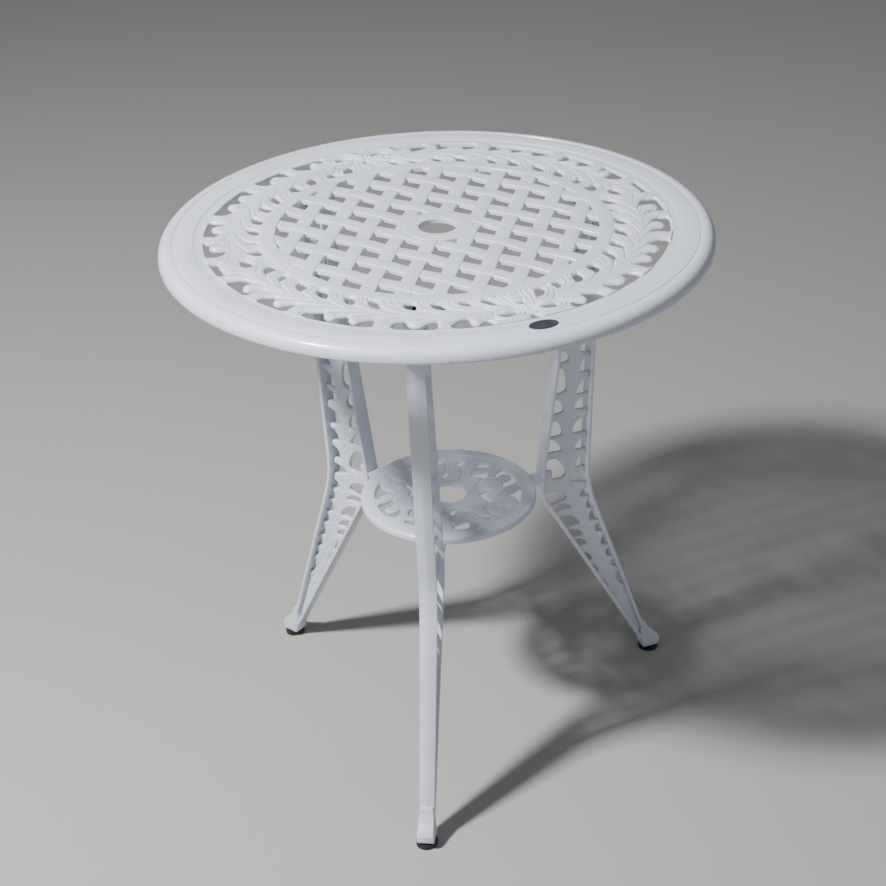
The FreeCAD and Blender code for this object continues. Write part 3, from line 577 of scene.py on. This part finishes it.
def makeFrond(pile):
    w = wreath
    unit = w["unit"]
    sheet = Sheet((0, 90 * unit, w["ringSide"], w["rimSide"]), w["step"], w["round"], w["crown"],
                  w["thick"] - w["below"])
    for outline in w["outerCells"] + w["innerGaps"] + w["middles"]:
        sheet.cut(eased(flat(outline)), wider=w["wider"])
    # the leaves lean less where they stand near the scroll
    most, share = w["forkLean"]
    for place, radius in w["forks"]:
        sheet.carve(leafLine(place, radius, min(most, share * place), "outward"), *w["forkGroove"])
    most, share = w["tipLean"]
    for place, radius in w["tips"]:
        lean = min(most, share * place)
        sheet.carve(leafLine(place, radius, lean, "outward"), *w["tipGroove"])
        for shift, end in w["sides"]:
            sheet.carve(leafLine(place + shift, end, lean, "outward"), *w["sideGroove"])
        size, height, stretch = w["tipSwell"]
        sheet.swell((place * unit, radius - w["tipBack"]), size, height, stretch)
    gaps = w["innerGaps"]
    most, share, least = w["gapLean"]
    for k, gap in enumerate(gaps):
        place, radius = gap[0]
        lean = min(most, share * place + least)
        sheet.carve(leafLine(place, radius, lean, "inward"), *w["gapGroove"])
        # the leaf between this gap and the following one has its folds spread between their feet
        last = gap[4][0] if len(gap) == 8 else gap[3][0]
        following = gaps[k + 1][-2][0] if k + 1 < len(gaps) else w["lastGap"]
        for way, depth in w["folds"]:
            fold = leafLine(last + (following - last) * way, w["foldRadius"], lean, "inward")
            sheet.carve(fold, depth, w["foldWidth"], w["foldFade"])
    for line in w["scrollLines"]:
        sheet.carve(smoothed(flat(line), 24), *w["scrollGroove"])
    for line in w["meetingLines"]:
        sheet.carve(smoothed(flat(line), 14), *w["meetingGroove"])
    for place, radius, size, height in w["swells"]:
        sheet.swell((place * unit, radius), size, height)
    high = top["height"] - w["below"]
    sheet.build(pile, lambda x, y, z: polar(y, x / unit, high + z), walled=True)


# weave: two sets of strips, each passing over and under the other; each set has its middle strip and four
# more on either side of it
weave = {"pitch": 39.0, "lean": 55.0, "width": 16.8, "thick": 5.2, "swing": 0.75, "below": 0.3, "ease": 1.5,
         "footEase": (0.4, 0.5), "crown": 0.15, "eachSide": 4, "reach": 176.5, "hole": 31.0, "holeLap": 6,
         "step": 3.0}


def stripSection():
    half, thick, ease = weave["width"] / 2, weave["thick"], weave["ease"]
    inward, upward = weave["footEase"]
    # up one side, round its upper edge in four steps, over the crown, and the same mirrored down again
    section = [(-half + inward, -thick), (-half, -thick + upward), (-half, -ease)]
    for i in range(1, 5):
        angle = math.radians(180 - 22.5 * i)
        section.append((-half + ease + ease * math.cos(angle), -ease + ease * math.sin(angle)))
    section.append((0, weave["crown"]))
    return section + [(-across, height) for across, height in reversed(section[:-1])]


def weaveStrip(pile, ahead, sideways, offset, overFirst):
    w = weave
    section = stripSection()
    reach, hole = w["reach"], w["hole"]
    slant = math.sin(math.radians(2 * w["lean"]))
    spread = abs(offset) * w["pitch"] * slant
    square = Vector((-ahead.y, ahead.x, 0))
    if square.dot(sideways) < 0:
        square = -square
    centre = square * (offset * w["pitch"] * slant)
    skew = sideways.dot(ahead) * offset * w["pitch"]
    # a strip that meets the hub is two stretches, one on each side of it
    clear = spread > hole + w["width"] / 2 - w["holeLap"]
    stretches = [(-1, 1)] if clear else [(-1, 0), (0, 1)]
    for begin, end in stretches:
        count = int(2 * reach / w["step"] / len(stretches))
        rings = []
        for i in range(count + 1):
            ring = []
            for across, height in section:
                distance = spread * (1 if offset >= 0 else -1) + across
                outer = math.sqrt(max(1, reach ** 2 - distance ** 2))
                inner = 0 if clear else math.sqrt(max(0, hole ** 2 - distance ** 2))
                start = -outer if begin < 0 else inner
                stop = outer if end > 0 else -inner
                along = start + (stop - start) * i / count
                phase = (along - skew) / w["pitch"] + (0 if overFirst else 1)
                # the wave dwells at its high and low places and changes quickly between them
                wave = math.cos(math.pi * phase)
                for _ in range(2):
                    wave = 1.5 * wave - 0.5 * wave ** 3
                dip = w["swing"] * (0.5 - 0.5 * wave)
                z = top["height"] - w["below"] - dip + height
                ring.append(centre + ahead * along + square * across + Vector((0, 0, z)))
            rings.append(ring)
        pile.loft(rings)


def makeWeave(pile):
    along, across = polar(1, top["turn"] + weave["lean"]), polar(1, top["turn"] - weave["lean"])
    for k in range(-weave["eachSide"], weave["eachSide"] + 1):
        # a strip along one way rides over at odd crossings, one along the other way at even crossings
        weaveStrip(pile, along, across, k, k % 2 == 1)
        weaveStrip(pile, across, along, k, k % 2 == 0)


def makeBosses(pile):
    # two under the plain ring for each leg's bolts, each a short tube with an eased lower end
    h, radius, hole, ease = top["height"], top["bossRadius"], top["bossHole"], top["bossEase"]
    high, low = h - top["bossTop"], h - top["bossDrop"]
    profile = [(hole, high), (hole, low), (radius - ease, low), (radius, low + ease), (radius, high)]
    boss = Pile()
    turned(boss, profile, top["bossSides"])
    reach = math.sqrt(ringMiddle ** 2 - top["bossSide"] ** 2)
    for turn in top["legTurns"]:
        for side in (1, -1):
            pile.addPile(boss, aboutZ(turn) @ Matrix.Translation((reach, side * top["bossSide"], 0)))


def makeTableTop(material):
    pile, frond = Pile(), Pile()
    high, low = top["height"], top["height"] - top["ringThick"]
    turned(pile, rimProfile(), top["rimSides"])
    turned(pile, bandProfile(top["ringIn"], top["ringOut"], low, high, top["ringRadii"]), top["ringSides"])
    turned(pile, bandProfile(top["pole"], top["hub"], low, high, top["ringRadii"]), top["hubSides"])
    makeFrond(frond)
    for matrix in fourWays:
        pile.addPile(frond, matrix)
    makeWeave(pile)
    makeBosses(pile)
    piece = pile.build("tableTop", material)
    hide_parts("table_top")
    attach(piece, "table")
    print("table top:", len(piece.data.polygons), "faces")


# shelf: leaves round a second pole hole; places are degrees with a radius, for one half of the turn
shelf = {
    "height": 300, "radius": 102, "band": 16, "thick": 8, "web": 5, "pole": 20.5, "below": 0.5,
    "step": 0.8, "round": 3.2, "crown": 1.9, "radii": (0.5, 1.5, 3.2, 1.4), "sides": 160, "overlap": 4.5,
    "slack": 0.3, "wider": -0.35,
    # grooves as (depth, width, fade)
    "foldGroove": (1.7, 1.3), "veinGroove": (0.9, 0.9, 0.5),
    "gaps": [
        [(36, 62.8), (43, 67), (46.5, 73), (47, 79), (45, 82), (38.5, 84), (30, 85.6), (23.5, 84.8),
         (21, 80.6), (19.5, 73), (14.8, 65), (20.6, 64.4), (27.5, 67.8), (29, 74.4), (30.5, 80.2),
         (35.5, 80.8), (39, 77.5), (39.5, 71)],
        [(14, 82), (7.8, 77.9), (2.5, 68), (-1, 69), (-1.2, 77.2), (-8, 83), (-13, 85.4), (-4, 85.8),
         (5, 85.8), (12.5, 85)],
        [(-22.7, 75), (-20, 79.6), (-17.2, 75.5), (-19.6, 70.4)],
        [(-47.2, 74), (-43.5, 77.4), (-39.2, 73.5), (-43, 70.7)],
        [(-60, 77.5), (-57.6, 80.4), (-55.4, 77.7), (-57.6, 74.9)],
        [(-80.8, 76.5), (-75.9, 70), (-68, 66), (-63.4, 66), (-62.6, 72), (-64, 78.8), (-70, 82.4),
         (-76, 81)],
        [(56.3, 74.5), (58, 79.5), (64, 80), (70.3, 77), (71.3, 71), (67, 67), (62, 70)],
        [(80.5, 69.5), (83, 75), (88, 76.4), (91.5, 70.5), (89, 64), (84, 63)],
        [(60, 45), (66.5, 50), (64.6, 55), (57.5, 60.6), (54.4, 68.3), (49, 62), (42.4, 54.6),
         (51.5, 48.2)],
        [(-17, 47.8), (-19, 55), (-17.6, 58), (-9.4, 51.6), (-4.5, 45), (4, 45.4), (10, 48.2), (12, 44.5),
         (7.5, 38.5), (1.5, 35.2), (-5, 37)],
        [(-37.5, 54.5), (-32, 58.9), (-27.6, 57), (-30, 52.6)],
        [(-82.5, 42), (-80.5, 47.8), (-76, 50.4), (-73.5, 44.4), (-69, 41), (-62, 44), (-56, 48.4),
         (-49, 52), (-48, 48.4), (-55, 42.6), (-62, 38), (-70, 36), (-76.5, 36)],
        [(26.5, 37), (31, 41.3), (37.5, 39), (34, 34.2)],
        [(71.5, 36), (72.7, 41.9), (77.2, 41.3), (79, 35), (75.5, 32.3)]],
    "folds": [
        [(9, 48), (14, 56), (15, 65)], [(-18, 57), (-21, 64), (-20, 71)],
        [(-49, 51), (-49, 62), (-44, 71)], [(-57, 48), (-61, 57), (-65, 66)],
        [(42, 55), (38, 59), (36, 63)], [(65, 52), (68, 60), (67, 67)], [(76, 41), (80, 52), (85, 63)],
        [(-78, 50), (-80, 62), (-79, 73)], [(-33, 58), (-37, 68), (-33, 84)],
        [(36, 40), (44, 47), (45, 54)], [(-2, 60), (3, 64), (1, 68)], [(-59, 80), (-62, 83), (-70, 84)],
        [(55, 68), (52, 76), (50, 84)]],
    "veins": [
        [(31, 44), (29, 58), (34, 79)], [(33, 52), (33, 62), (37, 74)], [(26, 50), (24, 58), (25, 64)],
        [(-30, 40), (-26, 50), (-27, 78)], [(-38, 62), (-39, 70), (-38, 80)],
        [(-27, 62), (-24, 68), (-25, 80)], [(91, 40), (95, 54), (96, 80)], [(88, 52), (84, 58), (80, 60)],
        [(60, 64), (61, 67), (60, 70)], [(-70, 52), (-70, 58), (-71, 64)],
        [(-55, 58), (-54, 66), (-51, 78)], [(-8, 58), (-7, 68), (-6, 78)], [(72, 46), (75, 56), (76, 78)]],
}


def aroundShelf(places, turn):
    return [tuple(polar(radius, degrees + turn).xy) for degrees, radius in places]


def makeShelf(material):
    s = shelf
    high, inner = s["height"], s["radius"] - s["band"]
    pile = Pile()
    turned(pile, bandProfile(inner, s["radius"], high - s["thick"], high, s["radii"]), s["sides"])
    # the leaves reach from the pole hole to a little way inside the rim, within the sheet's grid
    reach = inner + s["overlap"]
    sheet = Sheet((-reach, reach, -reach, reach), s["step"], s["round"], s["crown"], s["web"] - s["below"])
    sheet.cut(circle(reach - s["slack"], 90), outside=True)
    sheet.cut(circle(s["pole"], 60))
    for turn in (0, 180):
        for gap in s["gaps"]:
            sheet.cut(eased(aroundShelf(gap, turn)), wider=s["wider"])
        for fold in s["folds"]:
            sheet.carve(smoothed(aroundShelf(fold, turn), 24), *s["foldGroove"])
        for vein in s["veins"]:
            sheet.carve(smoothed(aroundShelf(vein, turn), 24), *s["veinGroove"])
    sheet.build(pile, lambda x, y, z: Vector((x, y, high - s["below"] + z)))
    piece = pile.build("polishedShelf", material)
    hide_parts("shelf")
    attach(piece, "table")
    print("shelf:", len(piece.data.polygons), "faces")


# legs: each place is a radius with a height; the straps' bent lines run from the top down
leg = {
    "outer": [(193.5, 622), (177.2, 271), (262, 20.3)], "inner": [(162, 622), (112.3, 271), (255, 12.3)],
    "outerBend": 150, "innerBend": 70, "width": 20, "thick": 4, "ridge": 1.4, "slimming": 0.2,
    # web: the leaf work between the straps, tucked a little way into them; reach is two radii and a height
    "web": 1.7, "crown": 1.5, "round": 4.5, "step": 0.95, "reach": (106, 264, 623), "slack": 2,
    "webLift": 5, "tuck": 2, "holeLap": 1.5, "wider": 0.6,
    # blocks: near and far radius, half of the width, low and high side
    "flange": (173, 192, 32, 616, 622), "lug": (87, 116.3, 9, 286, 292),
    # toe
    "foot": 266, "toeLow": 6.3, "toeHalf": 9.9, "toeTaper": 0.075,
    # grooves as (depth, width, fade); the veins beside a hole follow it, larger by a share
    "veins": ((1.28, 0.8), (1.55, 0.5)), "veinWidth": 0.8, "veinFade": 0.3, "stemHalf": 2.1,
    "stemGroove": (0.9, 0.9, 0.2), "leafGroove": (1.1, 1.1), "swellSize": (5, 1.2),
    # openings of the web between its stem and a strap, each along the stem's side from the top down
    "innerHoles": [
        [(161, 593), (165, 589), (168, 582), (168.5, 575), (158, 573.5)],
        [(157, 567), (163, 562), (166, 554), (166.5, 545), (164, 541), (153, 541)],
        [(152, 536), (157.5, 532), (161, 526), (163, 518), (159, 516), (150, 516)],
        [(149, 510), (156, 507), (160, 500), (161.5, 491), (160, 485), (146, 484)],
        [(146, 479), (151, 474), (155, 468), (157.5, 460), (154, 458), (143, 458)],
        [(142, 452), (150, 449.5), (154, 444), (155, 438), (152, 436.5), (139, 436.5)],
        [(139, 431), (148, 427), (151, 417), (151.8, 404), (149.5, 397.5), (135, 397)],
        [(134, 391), (143, 387), (146.5, 380), (147.5, 372.5), (143, 371), (131, 371)],
        [(129, 361), (139, 360.5), (142.5, 355), (144.8, 348), (145.3, 342.5), (142, 341), (126, 341.5)],
        [(126, 338.5), (134, 337), (139, 330.5), (145, 322), (143, 319.5), (135, 321), (122, 321)],
        [(119, 308), (128, 311), (136, 310.8), (141.5, 306), (145.8, 299), (148.8, 292), (149, 286.5),
         (146, 283.3), (137, 283), (131.5, 285), (132.5, 290), (133.5, 294.5), (130, 297.5), (119, 297)],
        [(117, 264), (132, 266), (140, 265), (147.5, 261.5), (152, 255.5), (147, 251.5), (139, 250),
         (124, 249)],
        [(127, 245), (136, 246), (143, 247), (150, 245), (158.5, 238), (150, 239.3), (141, 239),
         (131, 237)],
        [(135, 228), (149, 228.5), (155, 227.5), (161.5, 222.5), (167, 216), (168.8, 211), (164, 213.5),
         (158, 212.5), (145, 210)],
        [(148, 206.5), (158, 206), (163, 204.3), (168, 202), (173.3, 197), (168, 195.5), (163, 195.5),
         (155, 193.5)],
        [(156, 191.5), (166, 191), (173, 188), (178, 182.3), (172, 180.5), (166, 180), (162, 180)],
        [(168, 170), (176, 168), (181.5, 163.5), (185.5, 157.5), (181, 154.3), (176, 154.5)],
        [(180, 148.5), (186, 148), (190.5, 143), (194, 137), (189, 134.5), (187, 134)],
        [(193, 125), (198, 124.3), (203.5, 116.5), (208, 106.5), (205.5, 103.5), (203, 103.5)]],
    "outerHoles": [
        [(190, 598), (185, 596), (180.5, 590), (178.5, 584), (179, 578), (190, 577)],
        [(189, 569), (183, 567), (178.5, 561), (176.5, 554), (177.5, 550), (188, 549)],
        [(187, 542), (181, 540), (176.5, 534), (174.5, 527), (175.5, 523), (187, 522)],
        [(185, 515), (179, 513), (174.5, 507), (172.5, 500), (173.5, 496), (185, 495)],
        [(184, 489), (178, 487), (173, 481), (171, 474), (172, 470), (184, 469)],
        [(183, 463), (176, 461), (171.5, 455), (169.5, 449), (171, 445), (182, 444)],
        [(183, 438), (175, 437.5), (170.5, 429.5), (169, 420.5), (173, 419), (181, 419.5)],
        [(182, 410), (172.5, 409), (167, 399), (163.5, 391.5), (172, 390.5), (180, 391.5)],
        [(180, 389.5), (175.5, 387), (172, 383), (166, 382.5), (162.5, 377), (163, 371.5), (179, 370)],
        [(179, 359), (169, 358), (162.5, 353), (160.2, 345), (161.5, 340), (167, 340), (171.5, 339.5),
         (178, 340)],
        [(177, 332), (168.5, 330), (165.5, 324), (161.5, 318), (168, 317), (176, 317)],
        [(177, 308), (169, 307), (164.5, 301), (162, 293.5), (168, 292.5), (176, 293)],
        [(177, 284), (168, 283.3), (161, 281.8), (154, 277), (160, 274.5), (168, 272), (176, 271)],
        [(179, 261), (172, 259), (168, 253), (170, 249.5), (182, 249)],
        [(185, 245.5), (179.5, 243.5), (177, 238), (178.5, 231.3), (189, 230.5)],
        [(190, 228.5), (183, 226.5), (181, 219.5), (182, 212.5), (194, 211.5)],
        [(197, 207.5), (190.5, 205.5), (189, 199), (190.5, 195), (200, 194)],
        [(204, 187), (199.5, 185.5), (197.2, 179.5), (198, 173.7), (208, 172)],
        [(211, 168), (205.5, 166.5), (204, 160.5), (205.5, 155.3), (214, 154)],
        [(218, 149.5), (212.5, 148), (211.5, 142.5), (213.5, 139), (220, 138)],
        [(223, 130), (218.5, 127), (218.5, 118.5), (222, 112), (228, 110)]],
    "stem": [(178, 616), (172.5, 570), (168, 530), (164, 480), (160, 435), (155.5, 390), (153.5, 345),
             (155.5, 302), (161, 264), (170.5, 236), (178.5, 211), (186, 186), (195, 160), (206, 131),
             (217, 104)],
    # veins of the broad leaf that fills the foot of the web, from its root up to its lobes
    "footLeaf": [
        [(231, 90), (230, 97), (229, 105)], [(224, 98), (219, 118), (216, 136)],
        [(221, 102), (211, 127), (208, 151)], [(219, 105), (204, 138), (202, 170)],
        [(223, 90), (214, 96), (209, 102)], [(217, 98), (203, 116), (195, 129)],
        [(216, 103), (196, 132), (184, 151)], [(214, 107), (194, 140), (180, 173)]],
    "swells": [(147, 292), (131, 291), (169, 336), (147, 252), (163, 208), (170, 191), (178, 173),
               (182, 152), (193, 131), (207, 105), (205, 171), (211, 151), (216, 134), (227, 106),
               (196, 192)],
}
# a leg is drawn in its own plane: x is the radius, y the height, and the third way becomes the leg's width
upright = Matrix(((1, 0, 0, 0), (0, 0, -1, 0), (0, 1, 0, 0), (0, 0, 0, 1)))


def bentLine(run, radius, steps=14):
    # straight, round a bend of the given radius at the knee, and straight on
    one, knee, two = (Vector((x, y, 0)) for x, y in run)
    back, onward = (one - knee).normalized(), (two - knee).normalized()
    half = back.angle(onward) / 2
    reach = radius / math.tan(half)
    centre = knee + (back + onward).normalized() * radius / math.sin(half)
    start, stop = knee + back * reach - centre, knee + onward * reach - centre
    turn = start.angle(stop)
    swing = 1 if start.cross(stop).z > 0 else -1
    line = [one.lerp(centre + start, i / 6) for i in range(6)]
    for i in range(steps + 1):
        line.append(centre + Matrix.Rotation(swing * turn * i / steps, 3, "Z") @ start)
    return line + [(centre + stop).lerp(two, i / 10) for i in range(1, 11)]


def strapEdge(run, height):
    # radius of a strap's straight line at a height
    (r0, z0), (r1, z1), (r2, z2) = run
    if height >= z1:
        return r1 + (r0 - r1) * (height - z1) / (z0 - z1)
    return r1 + (r2 - r1) * (height - z1) / (z2 - z1)


def makeStrap(pile, run, radius, way, ridge):
    line = bentLine(run, radius)
    half, thick, knee = leg["width"] / 2, leg["thick"], run[1][1]
    section = [(-half + 0.7, 0), (-half + 0.15, -0.2), (-half, -0.8), (-half, -thick + 0.8),
               (-half + 0.8, -thick)]
    section = section + [(-across, deep) for across, deep in reversed(section)]
    if ridge:
        section += [(half * share, ridge * lift)
                    for share, lift in ((0.6, 0.3), (0.28, 0.8), (0, 1), (-0.28, 0.8), (-0.6, 0.3))]
    rings = []
    for i, point in enumerate(line):
        ahead = (line[min(i + 1, len(line) - 1)] - line[max(i - 1, 0)]).normalized()
        outward = Vector((-ahead.y, ahead.x, 0)) * way
        # below the knee the strap grows slimmer towards the toe
        slim = 1 - leg["slimming"] * max(0, (knee - point.y) / knee)
        rings.append([point + outward * deep + Vector((0, 0, across * slim)) for across, deep in section])
    strap = Pile()
    strap.loft(rings)
    pile.addPile(strap, upright)


def makeWeb(pile):
    g = leg
    outer, inner = bentLine(g["outer"], g["outerBend"]), bentLine(g["inner"], g["innerBend"])
    low = g["toeLow"] + g["webLift"]
    border = [(p.x - g["tuck"], max(p.y, low)) for p in outer]
    border += [(p.x + g["tuck"], max(p.y, low)) for p in reversed(inner)]
    near, far, high = g["reach"]
    sheet = Sheet((near, far, low - g["slack"], high), g["step"], g["round"], g["crown"], g["web"])
    sheet.cut(border, outside=True)
    for run, holes, way in ((g["inner"], g["innerHoles"], 1), (g["outer"], g["outerHoles"], -1)):
        for hole in holes:
            inStrap = [(strapEdge(run, z) + way * g["holeLap"], z) for z in (hole[-1][1], hole[0][1])]
            sheet.cut(eased(hole + inStrap), wider=g["wider"])
            rest = Vector(inStrap[0])
            for share, depth in g["veins"]:
                vein = [tuple(rest + (Vector(p) - rest) * share) for p in hole[1:-1]]
                sheet.carve(smoothed(vein, 16), depth, g["veinWidth"], g["veinFade"])
    for shift in (-g["stemHalf"], g["stemHalf"]):
        sheet.carve(smoothed([(x + shift, z) for x, z in g["stem"]], 70), *g["stemGroove"])
    for vein in g["footLeaf"]:
        sheet.carve(smoothed(vein, 14), *g["leafGroove"])
    for place in g["swells"]:
        sheet.swell(place, *g["swellSize"])
    web = Pile()
    sheet.build(web, lambda x, z, deep: Vector((x, z, deep)), bothFaces=True)
    pile.addPile(web, upright)


def makeToe(pile):
    f, low = leg["foot"], leg["toeLow"]
    side = [(f - 11.5, low), (f + 8.5, low), (f + 11.6, low + 4), (f + 11.4, low + 11), (f + 7.5, low + 16.5),
            (f + 1, low + 22), (f - 5, low + 30), (f - 8, low + 38), (f - 13, low + 36), (f - 14.5, low + 24),
            (f - 13, low + 8)]
    outline = rounded([(x, y, 0) for x, y in side], 3.0, 4)
    centre = Vector((f - 2, low + 12, 0))
    # from one cheek of the toe through its full outline in the middle to the other cheek
    cheek = ((1, 0.86), (0.985, 0.91), (0.94, 0.96), (0.84, 1))
    sections = [(-across, share) for across, share in cheek] + [(0, 1)] + list(reversed(cheek))
    rings = []
    for across, share in sections:
        ring = []
        for point in outline:
            spot = centre + (point - centre) * share
            half = leg["toeHalf"] - leg["toeTaper"] * max(0, spot.y - low - 6)
            ring.append(Vector((spot.x, max(spot.y, low), across * half)))
        rings.append(ring)
    toe = Pile()
    toe.loft(rings)
    pile.addPile(toe, upright)


def easedBlock(pile, x0, x1, half, z0, z1, ease=1.0):
    outline = rounded([(x0, -half, 0), (x1, -half, 0), (x1, half, 0), (x0, half, 0)], 3, 4)
    rings = []
    for height, inset in ((z0, ease), (z0 + ease, 0), (z1 - ease, 0), (z1, ease)):
        centre = Vector(((x0 + x1) / 2, 0, 0))
        ring = []
        for point in outline:
            away = point - centre
            ring.append(centre + away * (1 - inset / away.length) + Vector((0, 0, height)))
        rings.append(ring)
    pile.loft(rings)


def makeLegs(material):
    whole = Pile()
    makeWeb(whole)
    makeStrap(whole, leg["outer"], leg["outerBend"], 1, leg["ridge"])
    makeStrap(whole, leg["inner"], leg["innerBend"], -1, 0)
    makeToe(whole)
    easedBlock(whole, *leg["flange"])
    easedBlock(whole, *leg["lug"])
    for name, turn in zip(("front", "right", "left"), top["legTurns"]):
        pile = Pile()
        pile.addPile(whole, aboutZ(turn))
        piece = pile.build("leafLeg_" + name, material)
        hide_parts("leg_" + name)
        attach(piece, "table")
    print("legs:", len(piece.data.polygons), "faces each")


# plain oval plate on the rim: rows are a share of its size with a height above the rim, from its foot inwards
badge = {"radius": 271.5, "turn": 300, "long": 31, "wide": 19, "sides": 56, "sharp": 50,
         "rows": ((1.0, -0.8), (1.0, 0.45), (0.985, 0.7), (0.95, 0.8), (0.905, 0.75), (0.885, 0.45),
                  (0.6, 0.5), (0.25, 0.55))}


def makeBadge(material):
    b = badge
    turns = [2 * math.pi * i / b["sides"] for i in range(b["sides"])]
    plate = Pile()
    plate.loft([[Vector((share * b["wide"] / 2 * math.cos(turn), share * b["long"] / 2 * math.sin(turn),
                         top["height"] + height)) for turn in turns] for share, height in b["rows"]])
    pile = Pile()
    pile.addPile(plate, aboutZ(b["turn"]) @ Matrix.Translation((b["radius"], 0, 0)))
    piece = pile.build("plainPlate", material, b["sharp"])
    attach(piece, "table")
    print("plate:", len(piece.data.polygons), "faces")


def dressSmallParts(steel, black):
    # the fixings and pads are the solids themselves, with their own finishes
    for words, material in ((("bolt", "washer", "stud"), steel), (("pad",), black)):
        for name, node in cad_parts.items():
            if any(word in name for word in words):
                node.data.materials.clear()
                node.data.materials.append(material)
    print("small parts dressed")


# room: metres and watts; each lamp has a name, a place, a size and a power
room = {"floor": (0.40, 0.39, 0.38), "floorShade": 0.96, "floorRough": 0.8, "floorHalf": 9, "sky": 0.19,
        "skyColour": (0.93, 0.95, 1.0, 1), "aim": (0, 0, 0.45),
        "lamps": [("key", (-1.25, -0.95, 2.35), 0.28, 132), ("fill", (2.2, -1.8, 1.6), 2.0, 8)]}


def makeRoom():
    floor = Finish("pale floor", Roughness=room["floorRough"])
    shaded = tuple(room["floorShade"] * part for part in room["floor"])
    floor.feed(Base_Color=floor.blendColours(floor.noise(3, 3), room["floor"], shaded))
    half = room["floorHalf"]
    mesh = bpy.data.meshes.new("floor")
    corners = [(-half, -half, 0), (half, -half, 0), (half, half, 0), (-half, half, 0)]
    mesh.from_pydata(corners, [], [(0, 1, 2, 3)])
    mesh.materials.append(floor.material)
    ground = bpy.data.objects.new("floor", mesh)
    bpy.context.scene.collection.objects.link(ground)
    world = bpy.data.worlds.new("studio")
    bpy.context.scene.world = world
    world.use_nodes = True
    backdrop = world.node_tree.nodes["Background"]
    backdrop.inputs["Color"].default_value = room["skyColour"]
    backdrop.inputs["Strength"].default_value = room["sky"]
    for name, place, size, power in room["lamps"]:
        data = bpy.data.lights.new(name, "AREA")
        data.size = size
        data.energy = power
        lamp = bpy.data.objects.new(name, data)
        lamp.location = place
        lamp.rotation_euler = (Vector(room["aim"]) - lamp.location).to_track_quat("-Z", "Y").to_euler()
        bpy.context.scene.collection.objects.link(lamp)
    print("room set")


makeCamera()
makeRoom()
white, steel, black = whitePaint(), zincPlate(), blackRubber()
makeTableTop(white)
makeShelf(white)
makeLegs(white)
makeBadge(darkPlate())
dressSmallParts(steel, black)
